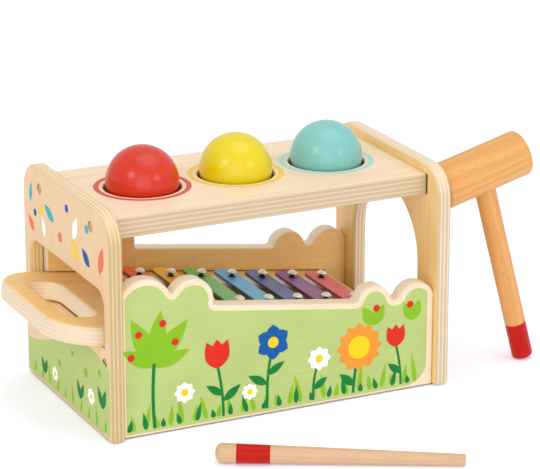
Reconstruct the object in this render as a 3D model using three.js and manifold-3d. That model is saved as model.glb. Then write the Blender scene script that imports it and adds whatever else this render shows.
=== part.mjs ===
// Pounding bench: three balls to hammer through a plywood top onto a slide-out xylophone tray.
// Millimetres, +Z up. The bench runs along X, its front faces -Y, and the tray's handle is at -X.

import * as THREE from 'three';
import { mergeVertices } from 'three/addons/utils/BufferGeometryUtils.js';
import Module from 'manifold-3d';

const wasm = await Module();
wasm.setup();

// Clearances
const glueGap = 0.1;          // glue line between faces that are fixed together
const pegGap = 0.15;          // around a dowel in its bore
const looseGap = 0.3;         // between a piece and what it lies on or slides in

// Side panels
const benchLength = 232;      // outside faces of the two side panels
const panelThickness = 9;
const panelDepth = 141.6;
const panelHeight = 143.6;
const panelTopRadius = 20;
const panelFootRadius = 2.5;
const panelEdgeRound = 1.8;

// Opening in the left panel that the tray slides through
const windowHeadroom = 23.3;   // above the tray's top face, at the inside of the panel
const windowCornerRadius = 10;
const windowSillRadius = 2.5;
const windowSideGap = 1.2;

// Arch in the right panel that the balls roll out of
const archWidth = 86;
const archDrop = 7;           // crown below the top board
const archSillDrop = 9.5;     // sill below the line of the tray's top face
const archSillRadius = 4;

// Top board
const boardThickness = 13.4;
const boardDepth = 107;
const boardDrop = 6.4;        // top face below the panels' top edges
const boardEdgeRound = 1.2;
const housingDepth = 3;       // shallow slot in each panel that takes the board's end
const housingEndGap = 2;
const tongueSetback = 7.5;      // of the housed ends from the board's front and back edges

// Balls and the rubber rings that hold them
const ballDiameter = 46;
const endWebExtra = 3.7;      // wood outside the end holes, over that between holes
const ballRise = 3.2;         // ball centre above the board's top face
const ballHoleGap = 1.2;      // round the ball's equator
const ringCord = 4;           // thickness of the rubber ring, which is as wide as the ball
const ringGrooveDepth = 3;    // past the hole's wall: room for the ring to open
const ballColours = { red: 0xe23c28, yellow: 0xf7df22, teal: 0x83cdc4 };

// Front and back cheeks, one outline for both
const cheekThickness = 11;
const cheekSetback = 4.6;     // from the panels' front and back edges
const cheekLift = 0.5;        // above the floor
const cheekEdgeRound = 1.2;
const cheekRise = 15.9;       // straight stretch of the top edge above the tray
// Rounds on that edge, from right to left: centre from the nearer end and above the slope
const bumps = [
  { side: 1, fromEnd: 12.1, rise: 0.6, radius: 12.7 },
  { side: 1, fromEnd: 42.2, rise: -0.3, radius: 11.6 },
  { side: -1, fromEnd: 46.9, rise: 2.5, radius: 14.2 },
  { side: -1, fromEnd: 15.4, rise: -2.1, radius: 18.7 },
];
const bumpFillets = [4, 2.5, 2, 1.5]; // small pair, slope end, slope start, large pair

// Dowels that pin the board and the cheeks to the panels
const dowelDiameter = 7;
const dowelLength = 30;
const dowelSink = 0.6;        // end below the panel's outer face
const boardDowelInset = 11.5;         // from the board's front and back edges
const cheekDowelHeights = [16, 49];

// Tray, in its own frame: X down the slope, Z square to its top face
const trayTilt = THREE.MathUtils.degToRad(8.1);
const trayMidHeight = 54.9;   // top face at the middle of the bench
const trayThickness = 12;
const trayEdgeRound = 2.5;
const trayEndGap = 15.5;      // from its lower end to the right panel
const trayEndRadius = 3;
const grooveDepth = 4;
const grooveHeadroom = 0.8;
const handleLength = 28.4;    // outside the left panel
const handleCornerRadius = 28;
const gripWidth = 15.6;
const slotWidth = 21;
const slotLength = 70;
const slotEndRadius = 10;

// Xylophone
const barColours = [0xc8271f, 0xcd561a, 0xcd9214, 0x63a55a, 0x50a0d6, 0x505f8c, 0x735078, 0xcd5560];
const barSemitones = [0, 2, 4, 5, 7, 9, 11, 12];
const barEndGap = 1.5;        // from the longest bar's ends to the cheeks
const barWidth = 14.5;
const barThickness = 2.2;
const barCornerRadius = 6.5;
const barRowEndGap = 19.8;    // from the last bar's middle to the tray's lower end
const barRowStartGap = 32.2;  // from the left panel to the first bar's middle
const screwShare = 0.19;      // bar screws from each end, just outside the bar's still points
const barHoleDiameter = 4.6;
const feltThickness = 2.4;
const feltWidth = 16;
const feltOverhang = 9.5;     // past the first and last screws
const screwShank = 3;
const screwHead = 7;
const screwDome = 2.4;
const screwStandoff = 1.5;    // under the head, above the bar
const screwDepth = 8;         // into the tray

// Mallet, leaning on the right panel beside the arch
const malletHeadDiameter = 30;
const malletHeadLength = 62;
const malletHeadRound = 2.5;
const malletHandleDiameter = 13.7;
const malletHandleReach = 136;        // from the head's axis to the handle's end
const malletHandleRound = 1.5;
const malletBoreDepth = 24;
const malletFromArch = 5;     // handle's axis in front of the arch's edge
const malletLean = THREE.MathUtils.degToRad(15);

// Beater for the bars, lying on the floor in front
const beaterLength = 149;
const beaterThick = 12.2;
const beaterThin = 7.2;
const beaterDome = 4;         // length of the domed end
const beaterTipRound = 1;
const beaterPlace = new THREE.Vector2(-71.3, -121.7);   // domed tip
const beaterHeading = THREE.MathUtils.degToRad(-27.8);

// Worked-out values
const halfInside = benchLength / 2 - panelThickness;
const boardTop = panelHeight - boardDrop;
const boardBottom = boardTop - boardThickness;
const ballRadius = ballDiameter / 2;
const ballHoleRadius = ballRadius + ballHoleGap;
const ballCentre = boardTop + ballRise;
const cheekOuter = panelDepth / 2 - cheekSetback;
const cheekInner = cheekOuter - cheekThickness;
const trayHalfWidth = cheekInner + grooveDepth - looseGap;
const trayStop = (halfInside - trayEndGap) / Math.cos(trayTilt);
const handleReach = (benchLength / 2 + handleLength) / Math.cos(trayTilt);
const dowelRadius = dowelDiameter / 2;

const woods = {
  plywood: { color: 0xf0d7af, roughness: 0.55 },
  beech: { color: 0xe6be91, roughness: 0.5 },
  dowel: { color: 0xd8b482, roughness: 0.7 },
};

// Solids from three.js geometry, and back

function toSolid(geometry) {
  const bare = new THREE.BufferGeometry();
  bare.setAttribute('position', geometry.getAttribute('position'));
  bare.setIndex(geometry.getIndex());
  const merged = mergeVertices(bare, 1e-4);
  const corners = merged.getIndex().array;
  const triangles = [];
  for (let i = 0; i < corners.length; i += 3) {
    const [a, b, c] = corners.slice(i, i + 3);
    if (a !== b && b !== c && c !== a) triangles.push(a, b, c);
  }
  const vertProperties = Float32Array.from(merged.getAttribute('position').array);
  const triVerts = Uint32Array.from(triangles);
  return new wasm.Manifold(new wasm.Mesh({ numProp: 3, vertProperties, triVerts }));
}

function toGeometry(solid) {
  const mesh = solid.getMesh();
  const geometry = new THREE.BufferGeometry();
  geometry.setAttribute('position', new THREE.BufferAttribute(mesh.vertProperties, 3));
  geometry.setIndex(new THREE.BufferAttribute(mesh.triVerts, 1));
  return geometry;
}

function cut(geometry, tools) {
  let solid = toSolid(geometry);
  for (const tool of tools) solid = solid.subtract(toSolid(tool));
  return toGeometry(solid);
}

// Plate with softened edges, from z = 0 up to its thickness
function plate(shape, thickness, edgeRound, bevelSegments = 1, curveSegments = 4) {
  const geometry = new THREE.ExtrudeGeometry(shape, {
    depth: thickness - 2 * edgeRound,
    bevelThickness: edgeRound,
    bevelSize: edgeRound,
    bevelOffset: -edgeRound,
    bevelSegments,
    curveSegments,
  });
  return geometry.translate(0, 0, edgeRound);
}

// Turned piece about the Z axis; the profile holds [radius, height] pairs from bottom to top
function turned(profile, segments) {
  const points = profile.map(([radius, height]) => new THREE.Vector2(radius, height));
  return new THREE.LatheGeometry(points, segments).rotateX(Math.PI / 2);
}

// Quarter-round run of a turned profile between two headings, in quarter turns
function roundOver(centreRadius, centreHeight, round, from, to, steps = 3) {
  const points = [];
  for (let i = 0; i <= steps; i += 1) {
    const angle = THREE.MathUtils.lerp(from, to, i / steps) * Math.PI / 2;
    points.push([centreRadius + round * Math.cos(angle), centreHeight + round * Math.sin(angle)]);
  }
  return points;
}

function peg(radius, length, segments) {
  return turned([[0, 0], [radius, 0], [radius, length], [0, length]], segments);
}

// Rectangle with one radius per corner: low-right, high-right, high-left, low-left
function roundedRectangle(Outline, left, right, low, high, radii) {
  const [lowRight, highRight, highLeft, lowLeft] = radii;
  const quarter = Math.PI / 2;
  const outline = new Outline();
  outline.moveTo(left + lowLeft, low);
  outline.absarc(right - lowRight, low + lowRight, lowRight, -quarter, 0);
  outline.absarc(right - highRight, high - highRight, highRight, 0, quarter);
  outline.absarc(left + highLeft, high - highLeft, highLeft, quarter, 2 * quarter);
  outline.absarc(left + lowLeft, low + lowLeft, lowLeft, 2 * quarter, 3 * quarter);
  return outline;
}

function rectangle(left, right, low, high) {
  return new THREE.Shape([
    new THREE.Vector2(left, low),
    new THREE.Vector2(right, low),
    new THREE.Vector2(right, high),
    new THREE.Vector2(left, high),
  ]);
}

// Round hole, as two half turns
function holePath(x, y, radius) {
  const path = new THREE.Path();
  path.absarc(x, y, radius, 0, Math.PI);
  path.absarc(x, y, radius, Math.PI, 2 * Math.PI);
  return path;
}

function material({ color, roughness, metalness = 0 }) {
  return new THREE.MeshStandardMaterial({ color, roughness, metalness });
}

function addPiece(group, name, geometry, look) {
  const mesh = new THREE.Mesh(geometry, material(look));
  mesh.name = name;
  group.add(mesh);
  return mesh;
}

// Turns a plate drawn in X and Y so that it stands with its thickness along X
function standAcross(geometry) {
  return geometry.rotateX(Math.PI / 2).rotateZ(Math.PI / 2);
}

// Turns a plate drawn in X and Y so that it stands with its thickness along +Y
function standAlong(geometry, thickness) {
  return geometry.rotateX(Math.PI / 2).translate(0, thickness, 0);
}

const root = new THREE.Group();
const bench = new THREE.Group();
const tray = new THREE.Group();
tray.rotation.y = trayTilt;
tray.position.z = trayMidHeight;
tray.updateMatrix();
root.add(bench, tray);

// Height of the tray's top or bottom face where it crosses a place along the bench
function trayHeightAt(x, below = 0) {
  return trayMidHeight - x * Math.tan(trayTilt) - below / Math.cos(trayTilt);
}

// Dowel places: every one runs along X, so Y and Z say where it is
const cheekMiddle = cheekOuter - cheekThickness / 2;
const dowelPlaces = [];
for (const [where, side] of [['front', -1], ['back', 1]]) {
  const boardPlace = { name: `board_${where}`, y: side * (boardDepth / 2 - boardDowelInset) };
  dowelPlaces.push({ ...boardPlace, z: boardTop - boardThickness / 2 });
  cheekDowelHeights.forEach((z, i) => {
    dowelPlaces.push({ name: `${where}_cheek_${i + 1}`, y: side * cheekMiddle, z });
  });
}

// Cylinder along X for a dowel or its bore at one end of the bench
function dowelAt(end, place, radius, sink, length) {
  const start = benchLength / 2 - sink - length;
  const geometry = peg(radius, length, 12).rotateY(Math.PI / 2).translate(start, 0, 0);
  if (end < 0) geometry.rotateZ(Math.PI);
  return geometry.translate(0, place.y, place.z);
}

function dowelBores(end, places) {
  const boreLength = dowelLength + dowelSink + 2 * looseGap;
  return places.map((place) => dowelAt(end, place, dowelRadius + pegGap, -looseGap, boreLength));
}

function addDowels() {
  for (const [side, end] of [['left', -1], ['right', 1]]) {
    for (const place of dowelPlaces) {
      const geometry = dowelAt(end, place, dowelRadius, dowelSink, dowelLength);
      addPiece(bench, `dowel_${side}_${place.name}`, geometry, woods.dowel);
    }
  }
}

// Side panels

function windowOutline() {
  const inside = -halfInside;
  const half = trayHalfWidth + windowSideGap;
  const sill = trayHeightAt(inside, trayThickness) - 2 * looseGap;
  const head = trayHeightAt(inside) + windowHeadroom;
  const radii = [windowSillRadius, windowCornerRadius, windowCornerRadius, windowSillRadius];
  return roundedRectangle(THREE.Path, -half, half, sill, head, radii);
}

function archOutline() {
  const half = archWidth / 2;
  const sill = trayHeightAt(halfInside) - archSillDrop;
  const radii = [archSillRadius, half, half, archSillRadius];
  return roundedRectangle(THREE.Path, -half, half, sill, boardBottom - archDrop, radii);
}

function addSidePanel(name, end, opening) {
  const half = panelDepth / 2;
  const shape = roundedRectangle(
    THREE.Shape, -half, half, 0, panelHeight,
    [panelFootRadius, panelTopRadius, panelTopRadius, panelFootRadius]);
  shape.holes.push(opening);
  const panel = standAcross(plate(shape, panelThickness, panelEdgeRound, 2));
  panel.translate(end < 0 ? -benchLength / 2 : halfInside, 0, 0);
  const housing = new THREE.BoxGeometry(
    2 * housingDepth, boardDepth + 2 * housingEndGap, boardThickness + 2 * glueGap);
  housing.translate(end * halfInside, 0, boardTop - boardThickness / 2);
  addPiece(bench, name, cut(panel, [housing, ...dowelBores(end, dowelPlaces)]), woods.plywood);
}

// Top board with its ball holes

const ringDrop = Math.sqrt((ballRadius + ringCord / 2 + looseGap) ** 2 - ballRadius ** 2);
const ringHeight = ballCentre - ringDrop;
const ballNames = Object.keys(ballColours);
const holeCount = ballNames.length;
const woodLength = 2 * (halfInside - holeCount * ballHoleRadius - endWebExtra);
const ballPitch = 2 * ballHoleRadius + woodLength / (holeCount + 1);

function ballX(index) {
  return (index - (holeCount - 1) / 2) * ballPitch;
}

function addTopBoard() {
  const half = halfInside + housingDepth - glueGap;
  const shape = rectangle(-half, half, -boardDepth / 2, boardDepth / 2);
  const grooves = [];
  ballNames.forEach((colour, i) => {
    shape.holes.push(holePath(ballX(i), 0, ballHoleRadius));
    const halfHeight = ringCord / 2 + looseGap;
    const inner = ballHoleRadius - ringCord / 2;
    const outer = ballHoleRadius + ringGrooveDepth;
    const profile = [
      [inner, -halfHeight], [outer, -halfHeight], [outer, halfHeight], [inner, halfHeight],
      [inner, -halfHeight],
    ];
    grooves.push(turned(profile, 32).translate(ballX(i), 0, ringHeight));
  });
  const board = plate(shape, boardThickness, boardEdgeRound, 1, 8).translate(0, 0, boardBottom);
  const notches = [];
  for (const end of [-1, 1]) {
    for (const side of [-1, 1]) {
      const notch = new THREE.BoxGeometry(
        2 * (housingDepth + glueGap), 2 * tongueSetback, 2 * boardThickness);
      const middle = boardTop - boardThickness / 2;
      notches.push(notch.translate(end * (halfInside + housingDepth), side * boardDepth / 2, middle));
    }
  }
  const boardPlaces = dowelPlaces.filter((place) => place.name.startsWith('board'));
  const bores = [...dowelBores(-1, boardPlaces), ...dowelBores(1, boardPlaces)];
  addPiece(bench, 'top_board', cut(board, [...grooves, ...notches, ...bores]), woods.plywood);
}

function addBalls() {
  ballNames.forEach((colour, i) => {
    const ball = new THREE.SphereGeometry(ballRadius, 22, 14).rotateX(Math.PI / 2);
    addPiece(bench, `ball_${colour}`, ball.translate(ballX(i), 0, ballCentre),
      { color: ballColours[colour], roughness: 0.35 });
    const ring = new THREE.TorusGeometry(ballRadius, ringCord / 2, 6, 28);
    addPiece(bench, `ring_${colour}`, ring.translate(ballX(i), 0, ringHeight),
      { color: 0x2b2a28, roughness: 0.8 });
  });
}

// Cheeks: a straight top edge along the tray's slope, with a pair of rounds at each end

const slopeAlong = new THREE.Vector2(Math.cos(trayTilt), -Math.sin(trayTilt));
const slopeUp = new THREE.Vector2(Math.sin(trayTilt), Math.cos(trayTilt));
const slopeStart = new THREE.Vector2(0, trayMidHeight + cheekRise);

// Centre of a fillet in the valley between two rounds
function valleyCentre(a, b, fillet) {
  const from = new THREE.Vector2(a.x, a.z);
  const across = new THREE.Vector2(b.x, b.z).sub(from);
  const span = across.length();
  const reachA = a.radius + fillet;
  const reachB = b.radius + fillet;
  const along = (span ** 2 + reachA ** 2 - reachB ** 2) / (2 * span);
  const up = Math.sqrt(reachA ** 2 - along ** 2);
  across.normalize();
  const upward = new THREE.Vector2(across.y, -across.x);
  return from.addScaledVector(across, along).addScaledVector(upward, up);
}

// Centre of a fillet between a round and the sloping edge on one side of it
function slopeCentre(bump, fillet, side) {
  const line = slopeStart.clone().addScaledVector(slopeUp, fillet);
  const offset = new THREE.Vector2(bump.x, bump.z).sub(line);
  const rise = offset.dot(slopeUp);
  const run = Math.sqrt((bump.radius + fillet) ** 2 - rise ** 2);
  return line.addScaledVector(slopeAlong, offset.dot(slopeAlong) + side * run);
}

function heading(from, to) {
  return Math.atan2(to.y - from.y, to.x - from.x);
}

function placedBump({ side, fromEnd, rise, radius }) {
  const x = side * (halfInside - fromEnd);
  return { x, z: trayHeightAt(x) + cheekRise + rise, radius };
}

function cheekOutline() {
  const end = halfInside - glueGap;
  const [bumpD, bumpC, bumpB, bumpA] = bumps.map(placedBump);
  const [filletCD, filletC, filletB, filletAB] = bumpFillets;
  const centre = (bump) => new THREE.Vector2(bump.x, bump.z);
  const valleyCD = valleyCentre(bumpD, bumpC, filletCD);
  const footC = slopeCentre(bumpC, filletC, -1);
  const footB = slopeCentre(bumpB, filletB, 1);
  const valleyAB = valleyCentre(bumpB, bumpA, filletAB);
  const downSlope = -Math.PI / 2 - trayTilt;
  const shape = new THREE.Shape();
  const over = (bump, from, to) => shape.absarc(bump.x, bump.z, bump.radius, from, to, false);
  const under = (at, fillet, from, to) => shape.absarc(at.x, at.y, fillet, from, to, true);
  const edgeD = Math.acos(Math.min(1, (end - bumpD.x) / bumpD.radius));
  const edgeA = Math.acos(Math.max(-1, (-end - bumpA.x) / bumpA.radius));
  shape.moveTo(-end, cheekLift);
  shape.lineTo(end, cheekLift);
  over(bumpD, edgeD, heading(centre(bumpD), valleyCD));
  under(valleyCD, filletCD, heading(valleyCD, centre(bumpD)), heading(valleyCD, centre(bumpC)));
  over(bumpC, heading(centre(bumpC), valleyCD), heading(centre(bumpC), footC));
  under(footC, filletC, heading(footC, centre(bumpC)), downSlope);
  under(footB, filletB, downSlope, heading(footB, centre(bumpB)));
  over(bumpB, heading(centre(bumpB), footB), heading(centre(bumpB), valleyAB));
  under(valleyAB, filletAB, heading(valleyAB, centre(bumpB)), heading(valleyAB, centre(bumpA)));
  over(bumpA, heading(centre(bumpA), valleyAB), edgeA);
  return shape;
}

// Room for the tray: the stopped grooves in both cheeks
function grooveTool() {
  const end = trayStop + looseGap;
  const length = end + benchLength;
  const height = trayThickness + looseGap + grooveHeadroom;
  const tool = new THREE.BoxGeometry(length, 2 * (cheekInner + grooveDepth), height);
  tool.translate(end - length / 2, 0, height / 2 - trayThickness - looseGap);
  return tool.applyMatrix4(tray.matrix);
}

function addCheek(name, side) {
  const cheek = standAlong(plate(cheekOutline(), cheekThickness, cheekEdgeRound), cheekThickness);
  cheek.translate(0, side < 0 ? -cheekOuter : cheekInner, 0);
  const ownPlaces = dowelPlaces.filter((place) => place.y === side * cheekMiddle);
  const bores = [...dowelBores(-1, ownPlaces), ...dowelBores(1, ownPlaces)];
  addPiece(bench, name, cut(cheek, [grooveTool(), ...bores]), woods.plywood);
}

// Tray with its handle

const barNames = ['red', 'orange', 'yellow', 'green', 'sky_blue', 'indigo', 'purple', 'pink'];
const longestBar = 2 * (cheekInner - barEndGap);
const barRowStart = barRowStartGap - halfInside / Math.cos(trayTilt);
const barPitch = (trayStop - barRowEndGap - barRowStart) / (barNames.length - 1);
const bars = barNames.map((colour, i) => {
  const length = longestBar * 2 ** (-barSemitones[i] / 24);
  return {
    colour,
    length,
    x: barRowStart + i * barPitch,
    screwY: length * (0.5 - screwShare),
    color: barColours[i],
  };
});

function trayOutline() {
  const shape = roundedRectangle(
    THREE.Shape, -handleReach, trayStop, -trayHalfWidth, trayHalfWidth,
    [trayEndRadius, trayEndRadius, handleCornerRadius, handleCornerRadius]);
  const slotLow = -handleReach + gripWidth;
  const halfSlot = slotLength / 2;
  shape.holes.push(roundedRectangle(
    THREE.Path, slotLow, slotLow + slotWidth, -halfSlot, halfSlot, Array(4).fill(slotEndRadius)));
  return shape;
}

function screwPlaces() {
  return bars.flatMap((bar) => [
    { name: `${bar.colour}_front`, x: bar.x, y: -bar.screwY },
    { name: `${bar.colour}_back`, x: bar.x, y: bar.screwY },
  ]);
}

function addTray() {
  const board = plate(trayOutline(), trayThickness, trayEdgeRound, 2).translate(0, 0, -trayThickness);
  const pilotDepth = screwDepth + looseGap;
  const pilots = screwPlaces().map(({ x, y }) =>
    peg(screwShank / 2 + looseGap, pilotDepth + 1, 8).translate(x, y, -pilotDepth));
  addPiece(tray, 'xylophone_tray', cut(board, pilots), woods.plywood);
}

function addFelts() {
  const first = bars[0];
  const last = bars[bars.length - 1];
  const fall = (last.screwY - first.screwY) / (last.x - first.x);
  for (const [where, side] of [['front', -1], ['back', 1]]) {
    const from = first.x - feltOverhang;
    const to = last.x + feltOverhang;
    const middleAt = (x) => side * (first.screwY + fall * (x - first.x));
    const shape = new THREE.Shape([
      new THREE.Vector2(from, middleAt(from) - feltWidth / 2),
      new THREE.Vector2(to, middleAt(to) - feltWidth / 2),
      new THREE.Vector2(to, middleAt(to) + feltWidth / 2),
      new THREE.Vector2(from, middleAt(from) + feltWidth / 2),
    ]);
    for (const bar of bars) {
      shape.holes.push(holePath(bar.x, side * bar.screwY, screwShank / 2 + looseGap));
    }
    const felt = new THREE.ExtrudeGeometry(
      shape, { depth: feltThickness, bevelEnabled: false, curveSegments: 2 });
    addPiece(tray, `felt_${where}`, felt.translate(0, 0, looseGap), { color: 0xf2efe6, roughness: 1 });
  }
}

const barBase = feltThickness + 2 * looseGap;

function addBars() {
  for (const bar of bars) {
    const half = bar.length / 2;
    const shape = roundedRectangle(
      THREE.Shape, bar.x - barWidth / 2, bar.x + barWidth / 2, -half, half,
      Array(4).fill(barCornerRadius));
    for (const side of [-1, 1]) {
      shape.holes.push(holePath(bar.x, side * bar.screwY, barHoleDiameter / 2));
    }
    const geometry = new THREE.ExtrudeGeometry(
      shape, { depth: barThickness, bevelEnabled: false, curveSegments: 3 });
    addPiece(tray, `bar_${bar.colour}`, geometry.translate(0, 0, barBase),
      { color: bar.color, roughness: 0.35, metalness: 0.3 });
  }
}

function addBarScrews() {
  const shank = screwShank / 2;
  const head = screwHead / 2;
  const under = barBase + barThickness + screwStandoff;
  const domeRadius = (head ** 2 + screwDome ** 2) / (2 * screwDome);
  const domeCentre = under + screwDome - domeRadius;
  const domePoints = [0.97, 0.75, 0.4].map((share) => {
    const radius = head * share;
    return [radius, domeCentre + Math.sqrt(domeRadius ** 2 - radius ** 2)];
  });
  const profile = [
    [0, -screwDepth], [shank, -screwDepth + shank], [shank, under], [head, under],
    ...domePoints, [0, under + screwDome],
  ];
  for (const { name, x, y } of screwPlaces()) {
    addPiece(tray, `screw_${name}`, turned(profile, 8).translate(x, y, 0),
      { color: 0xd9dadb, roughness: 0.15, metalness: 1 });
  }
}

// Mallet: one face of the head leans on the panel and the handle stands on the floor

function addMallet() {
  const half = malletHeadLength / 2;
  const headRadius = malletHeadDiameter / 2;
  const headRound = malletHeadRound;
  const handleRadius = malletHandleDiameter / 2;
  const handleRound = malletHandleRound;
  const along = Math.cos(malletLean);
  const across = Math.sin(malletLean);
  const headStandOff = (half - headRound) * along + (headRadius - headRound) * across + headRound;
  const standHeight = (malletHandleReach - handleRound) * along
    + (handleRadius - handleRound) * across + handleRound;
  const mallet = new THREE.Group();
  const malletY = -archWidth / 2 - malletFromArch;
  mallet.position.set(benchLength / 2 + looseGap + headStandOff, malletY, standHeight);
  mallet.rotation.y = -malletLean;
  root.add(mallet);

  const head = turned([
    [0, -half],
    ...roundOver(headRadius - headRound, -half + headRound, headRound, -1, 0),
    ...roundOver(headRadius - headRound, half - headRound, headRound, 0, 1),
    [0, half],
  ], 30).rotateY(Math.PI / 2);
  const boreTop = malletBoreDepth - headRadius;
  const bore = peg(handleRadius + looseGap, malletHeadDiameter, 18);
  bore.translate(0, 0, boreTop - malletHeadDiameter);
  addPiece(mallet, 'mallet_head', cut(head, [bore]), woods.beech);

  const handleTop = boreTop - looseGap;
  const handle = turned([
    [0, -malletHandleReach],
    ...roundOver(handleRadius - handleRound, -malletHandleReach + handleRound, handleRound, -1, 0),
    [handleRadius, handleTop],
    [0, handleTop],
  ], 18);
  addPiece(mallet, 'mallet_handle', handle, woods.beech);
}

// Beater: a tapered rod with one domed end, lying along its side

function addBeater() {
  const thick = beaterThick / 2;
  const thin = beaterThin / 2;
  const rodLength = beaterLength - beaterDome;
  const taper = Math.atan2(thick - thin, rodLength);
  const place = new THREE.Group();
  place.position.set(beaterPlace.x, beaterPlace.y, thick);
  place.rotation.z = beaterHeading;
  const rod = new THREE.Group();
  rod.position.x = beaterDome;
  rod.rotation.y = taper;
  place.add(rod);
  root.add(place);
  const dome = roundOver(0, 0, thick, -1, 0, 5)
    .map(([radius, height]) => [radius, height * beaterDome / thick]);
  const geometry = turned([
    ...dome,
    ...roundOver(thin - beaterTipRound, rodLength - beaterTipRound, beaterTipRound, 0, 1, 2),
    [0, rodLength],
  ], 18).rotateY(Math.PI / 2);
  addPiece(rod, 'beater', geometry, woods.beech);
}

addSidePanel('left_side_panel', -1, windowOutline());
addSidePanel('right_side_panel', 1, archOutline());
addTopBoard();
addBalls();
addCheek('front_cheek', -1);
addCheek('back_cheek', 1);
addDowels();
addTray();
addFelts();
addBars();
addBarScrews();
addMallet();
addBeater();

// Origin: the middle of the whole set's footprint, on the floor
root.updateMatrixWorld(true);
const bounds = new THREE.Box3().setFromObject(root, true);
const middle = bounds.getCenter(new THREE.Vector3());
root.position.set(-middle.x, -middle.y, -bounds.min.z);

export default root;
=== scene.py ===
# Pounding bench with a slide-out xylophone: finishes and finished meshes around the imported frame.
# Shapes are drawn in millimetres in each piece's own frame, with its thickness or turning axis along Z.
import math
import random

import bmesh
import bpy
from mathutils import Matrix, Vector
from mathutils.geometry import delaunay_2d_cdt


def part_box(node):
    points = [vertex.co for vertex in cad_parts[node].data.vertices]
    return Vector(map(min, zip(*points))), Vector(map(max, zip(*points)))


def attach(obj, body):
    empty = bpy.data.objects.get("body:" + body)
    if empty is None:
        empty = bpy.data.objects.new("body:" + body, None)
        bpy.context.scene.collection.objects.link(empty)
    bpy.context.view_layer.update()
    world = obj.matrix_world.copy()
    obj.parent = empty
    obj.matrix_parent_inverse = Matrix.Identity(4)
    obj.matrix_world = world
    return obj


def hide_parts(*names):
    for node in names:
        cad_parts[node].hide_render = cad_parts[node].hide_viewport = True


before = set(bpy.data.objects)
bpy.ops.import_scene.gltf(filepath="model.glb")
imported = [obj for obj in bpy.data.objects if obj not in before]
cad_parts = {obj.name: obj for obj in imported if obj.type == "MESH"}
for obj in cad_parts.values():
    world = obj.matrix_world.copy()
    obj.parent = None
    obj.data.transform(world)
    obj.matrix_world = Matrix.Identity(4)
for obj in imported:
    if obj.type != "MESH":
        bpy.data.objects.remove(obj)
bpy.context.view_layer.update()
scene = bpy.context.scene
mm = 0.001

leftLow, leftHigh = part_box("left_side_panel")
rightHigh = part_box("right_side_panel")[1]
benchMid = Vector(((leftLow.x + rightHigh.x) / 2, (leftLow.y + leftHigh.y) / 2, 0))
print("frame loaded, bench centre at", [round(v, 4) for v in benchMid])


# Colours and nodes

def linear(hexColour):
    channels = []
    for i in (1, 3, 5):
        c = int(hexColour[i:i + 2], 16) / 255
        channels.append(c / 12.92 if c <= 0.04045 else ((c + 0.055) / 1.055) ** 2.4)
    return (*channels, 1.0)


def setInputs(tree, node, inputs):
    for key, value in inputs.items():
        if isinstance(value, bpy.types.NodeSocket):
            tree.links.new(value, node.inputs[key])
        else:
            node.inputs[key].default_value = value


# By number, Map Range takes a value, its low and high, and what these become; a colour Mix takes its share
# as 0 and its colours as 6 and 7, and gives its colour as 2
def addNode(tree, kind, settings, inputs):
    node = tree.nodes.new("ShaderNode" + kind)
    for key, value in settings.items():
        setattr(node, key, value)
    setInputs(tree, node, inputs)
    return node


def startMaterial(name):
    material = bpy.data.materials.new(name)
    material.use_nodes = True
    tree = material.node_tree
    return material, tree, tree.nodes["Principled BSDF"]


inColour = {"data_type": "RGBA"}


# Birch plywood, knife-cut veneers glued crosswise, sanded and lacquered: pale silky faces with long faint
# streaks, a yellower inner side that is painted bounce light from the warm inner faces, and edges where
# light long-grain plies alternate with tan end-grain ones
birch = {
    "plyThickness": 1.49,
    "plyContrast": 0.5,
    "plyWander": 0.5,
    "veneer": "#F5DFC3",
    "veneerDeep": "#E9CCA6",
    "bounceLitVeneer": "#F8D48E",
    "bounceLitDeep": "#EBBF6E",
    "figure": "#DDB384",
    "longPly": "#D5BF9E",
    "endPly": "#B8986E",
    "glueLine": "#AE8A5C",
    "streakLength": 60,
    "streakWidth": 1.1,
    "figureLength": 130,
    "figureWidth": 13,
    "poreLength": 4.0,          # real pores are 0.1 mm wide, drawn 0.35 so that they show
    "poreWidth": 0.35,
    "roughness": (0.42, 0.56),
    "opening": None,            # middle x, y, half width and half height of an opening whose walls are painted paler, painted light for the shade inside it
    "openingLift": 1.0,
    "upperEdgePaintedLight": None,          # painted light: how much paler in red, green and blue an upright board's upward-facing edges are painted
}
# The same ply in other tones: warmer side panels, the left one with darker, yellower edges than the right,
# thicker-plied cheeks, and the honey-lacquered tray
leftBirch = {**birch, "plyThickness": 1.29, "plyContrast": 0.75, "veneer": "#E9C799", "veneerDeep": "#DDB580",
             "longPly": "#D2BD8B", "endPly": "#BA9865", "opening": (0, 75.4, 61, 18.9), "openingLift": 1.4,
             "upperEdgePaintedLight": (1.36, 1.39, 1.74)}
rightBirch = {**leftBirch, "longPly": "#E2D1B4", "endPly": "#C7AA83",
              "opening": (0, 73.5, 44, 44.3), "openingLift": 1.18, "upperEdgePaintedLight": (1.19, 1.19, 1.25)}
cheekBirch = {**birch, "plyThickness": 1.57, "plyContrast": 0.45, "longPly": "#F3E6CE", "endPly": "#D6BF9C"}
honey = {**birch, "plyThickness": 1.33, "plyContrast": 0.42, "veneer": "#F8D389", "veneerDeep": "#EABD6F",
         "figure": "#D8A258", "longPly": "#E8D3B4", "endPly": "#D7BA91",
         "opening": (-119.8, 0, 11.5, 36), "openingLift": 1.16}


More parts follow.
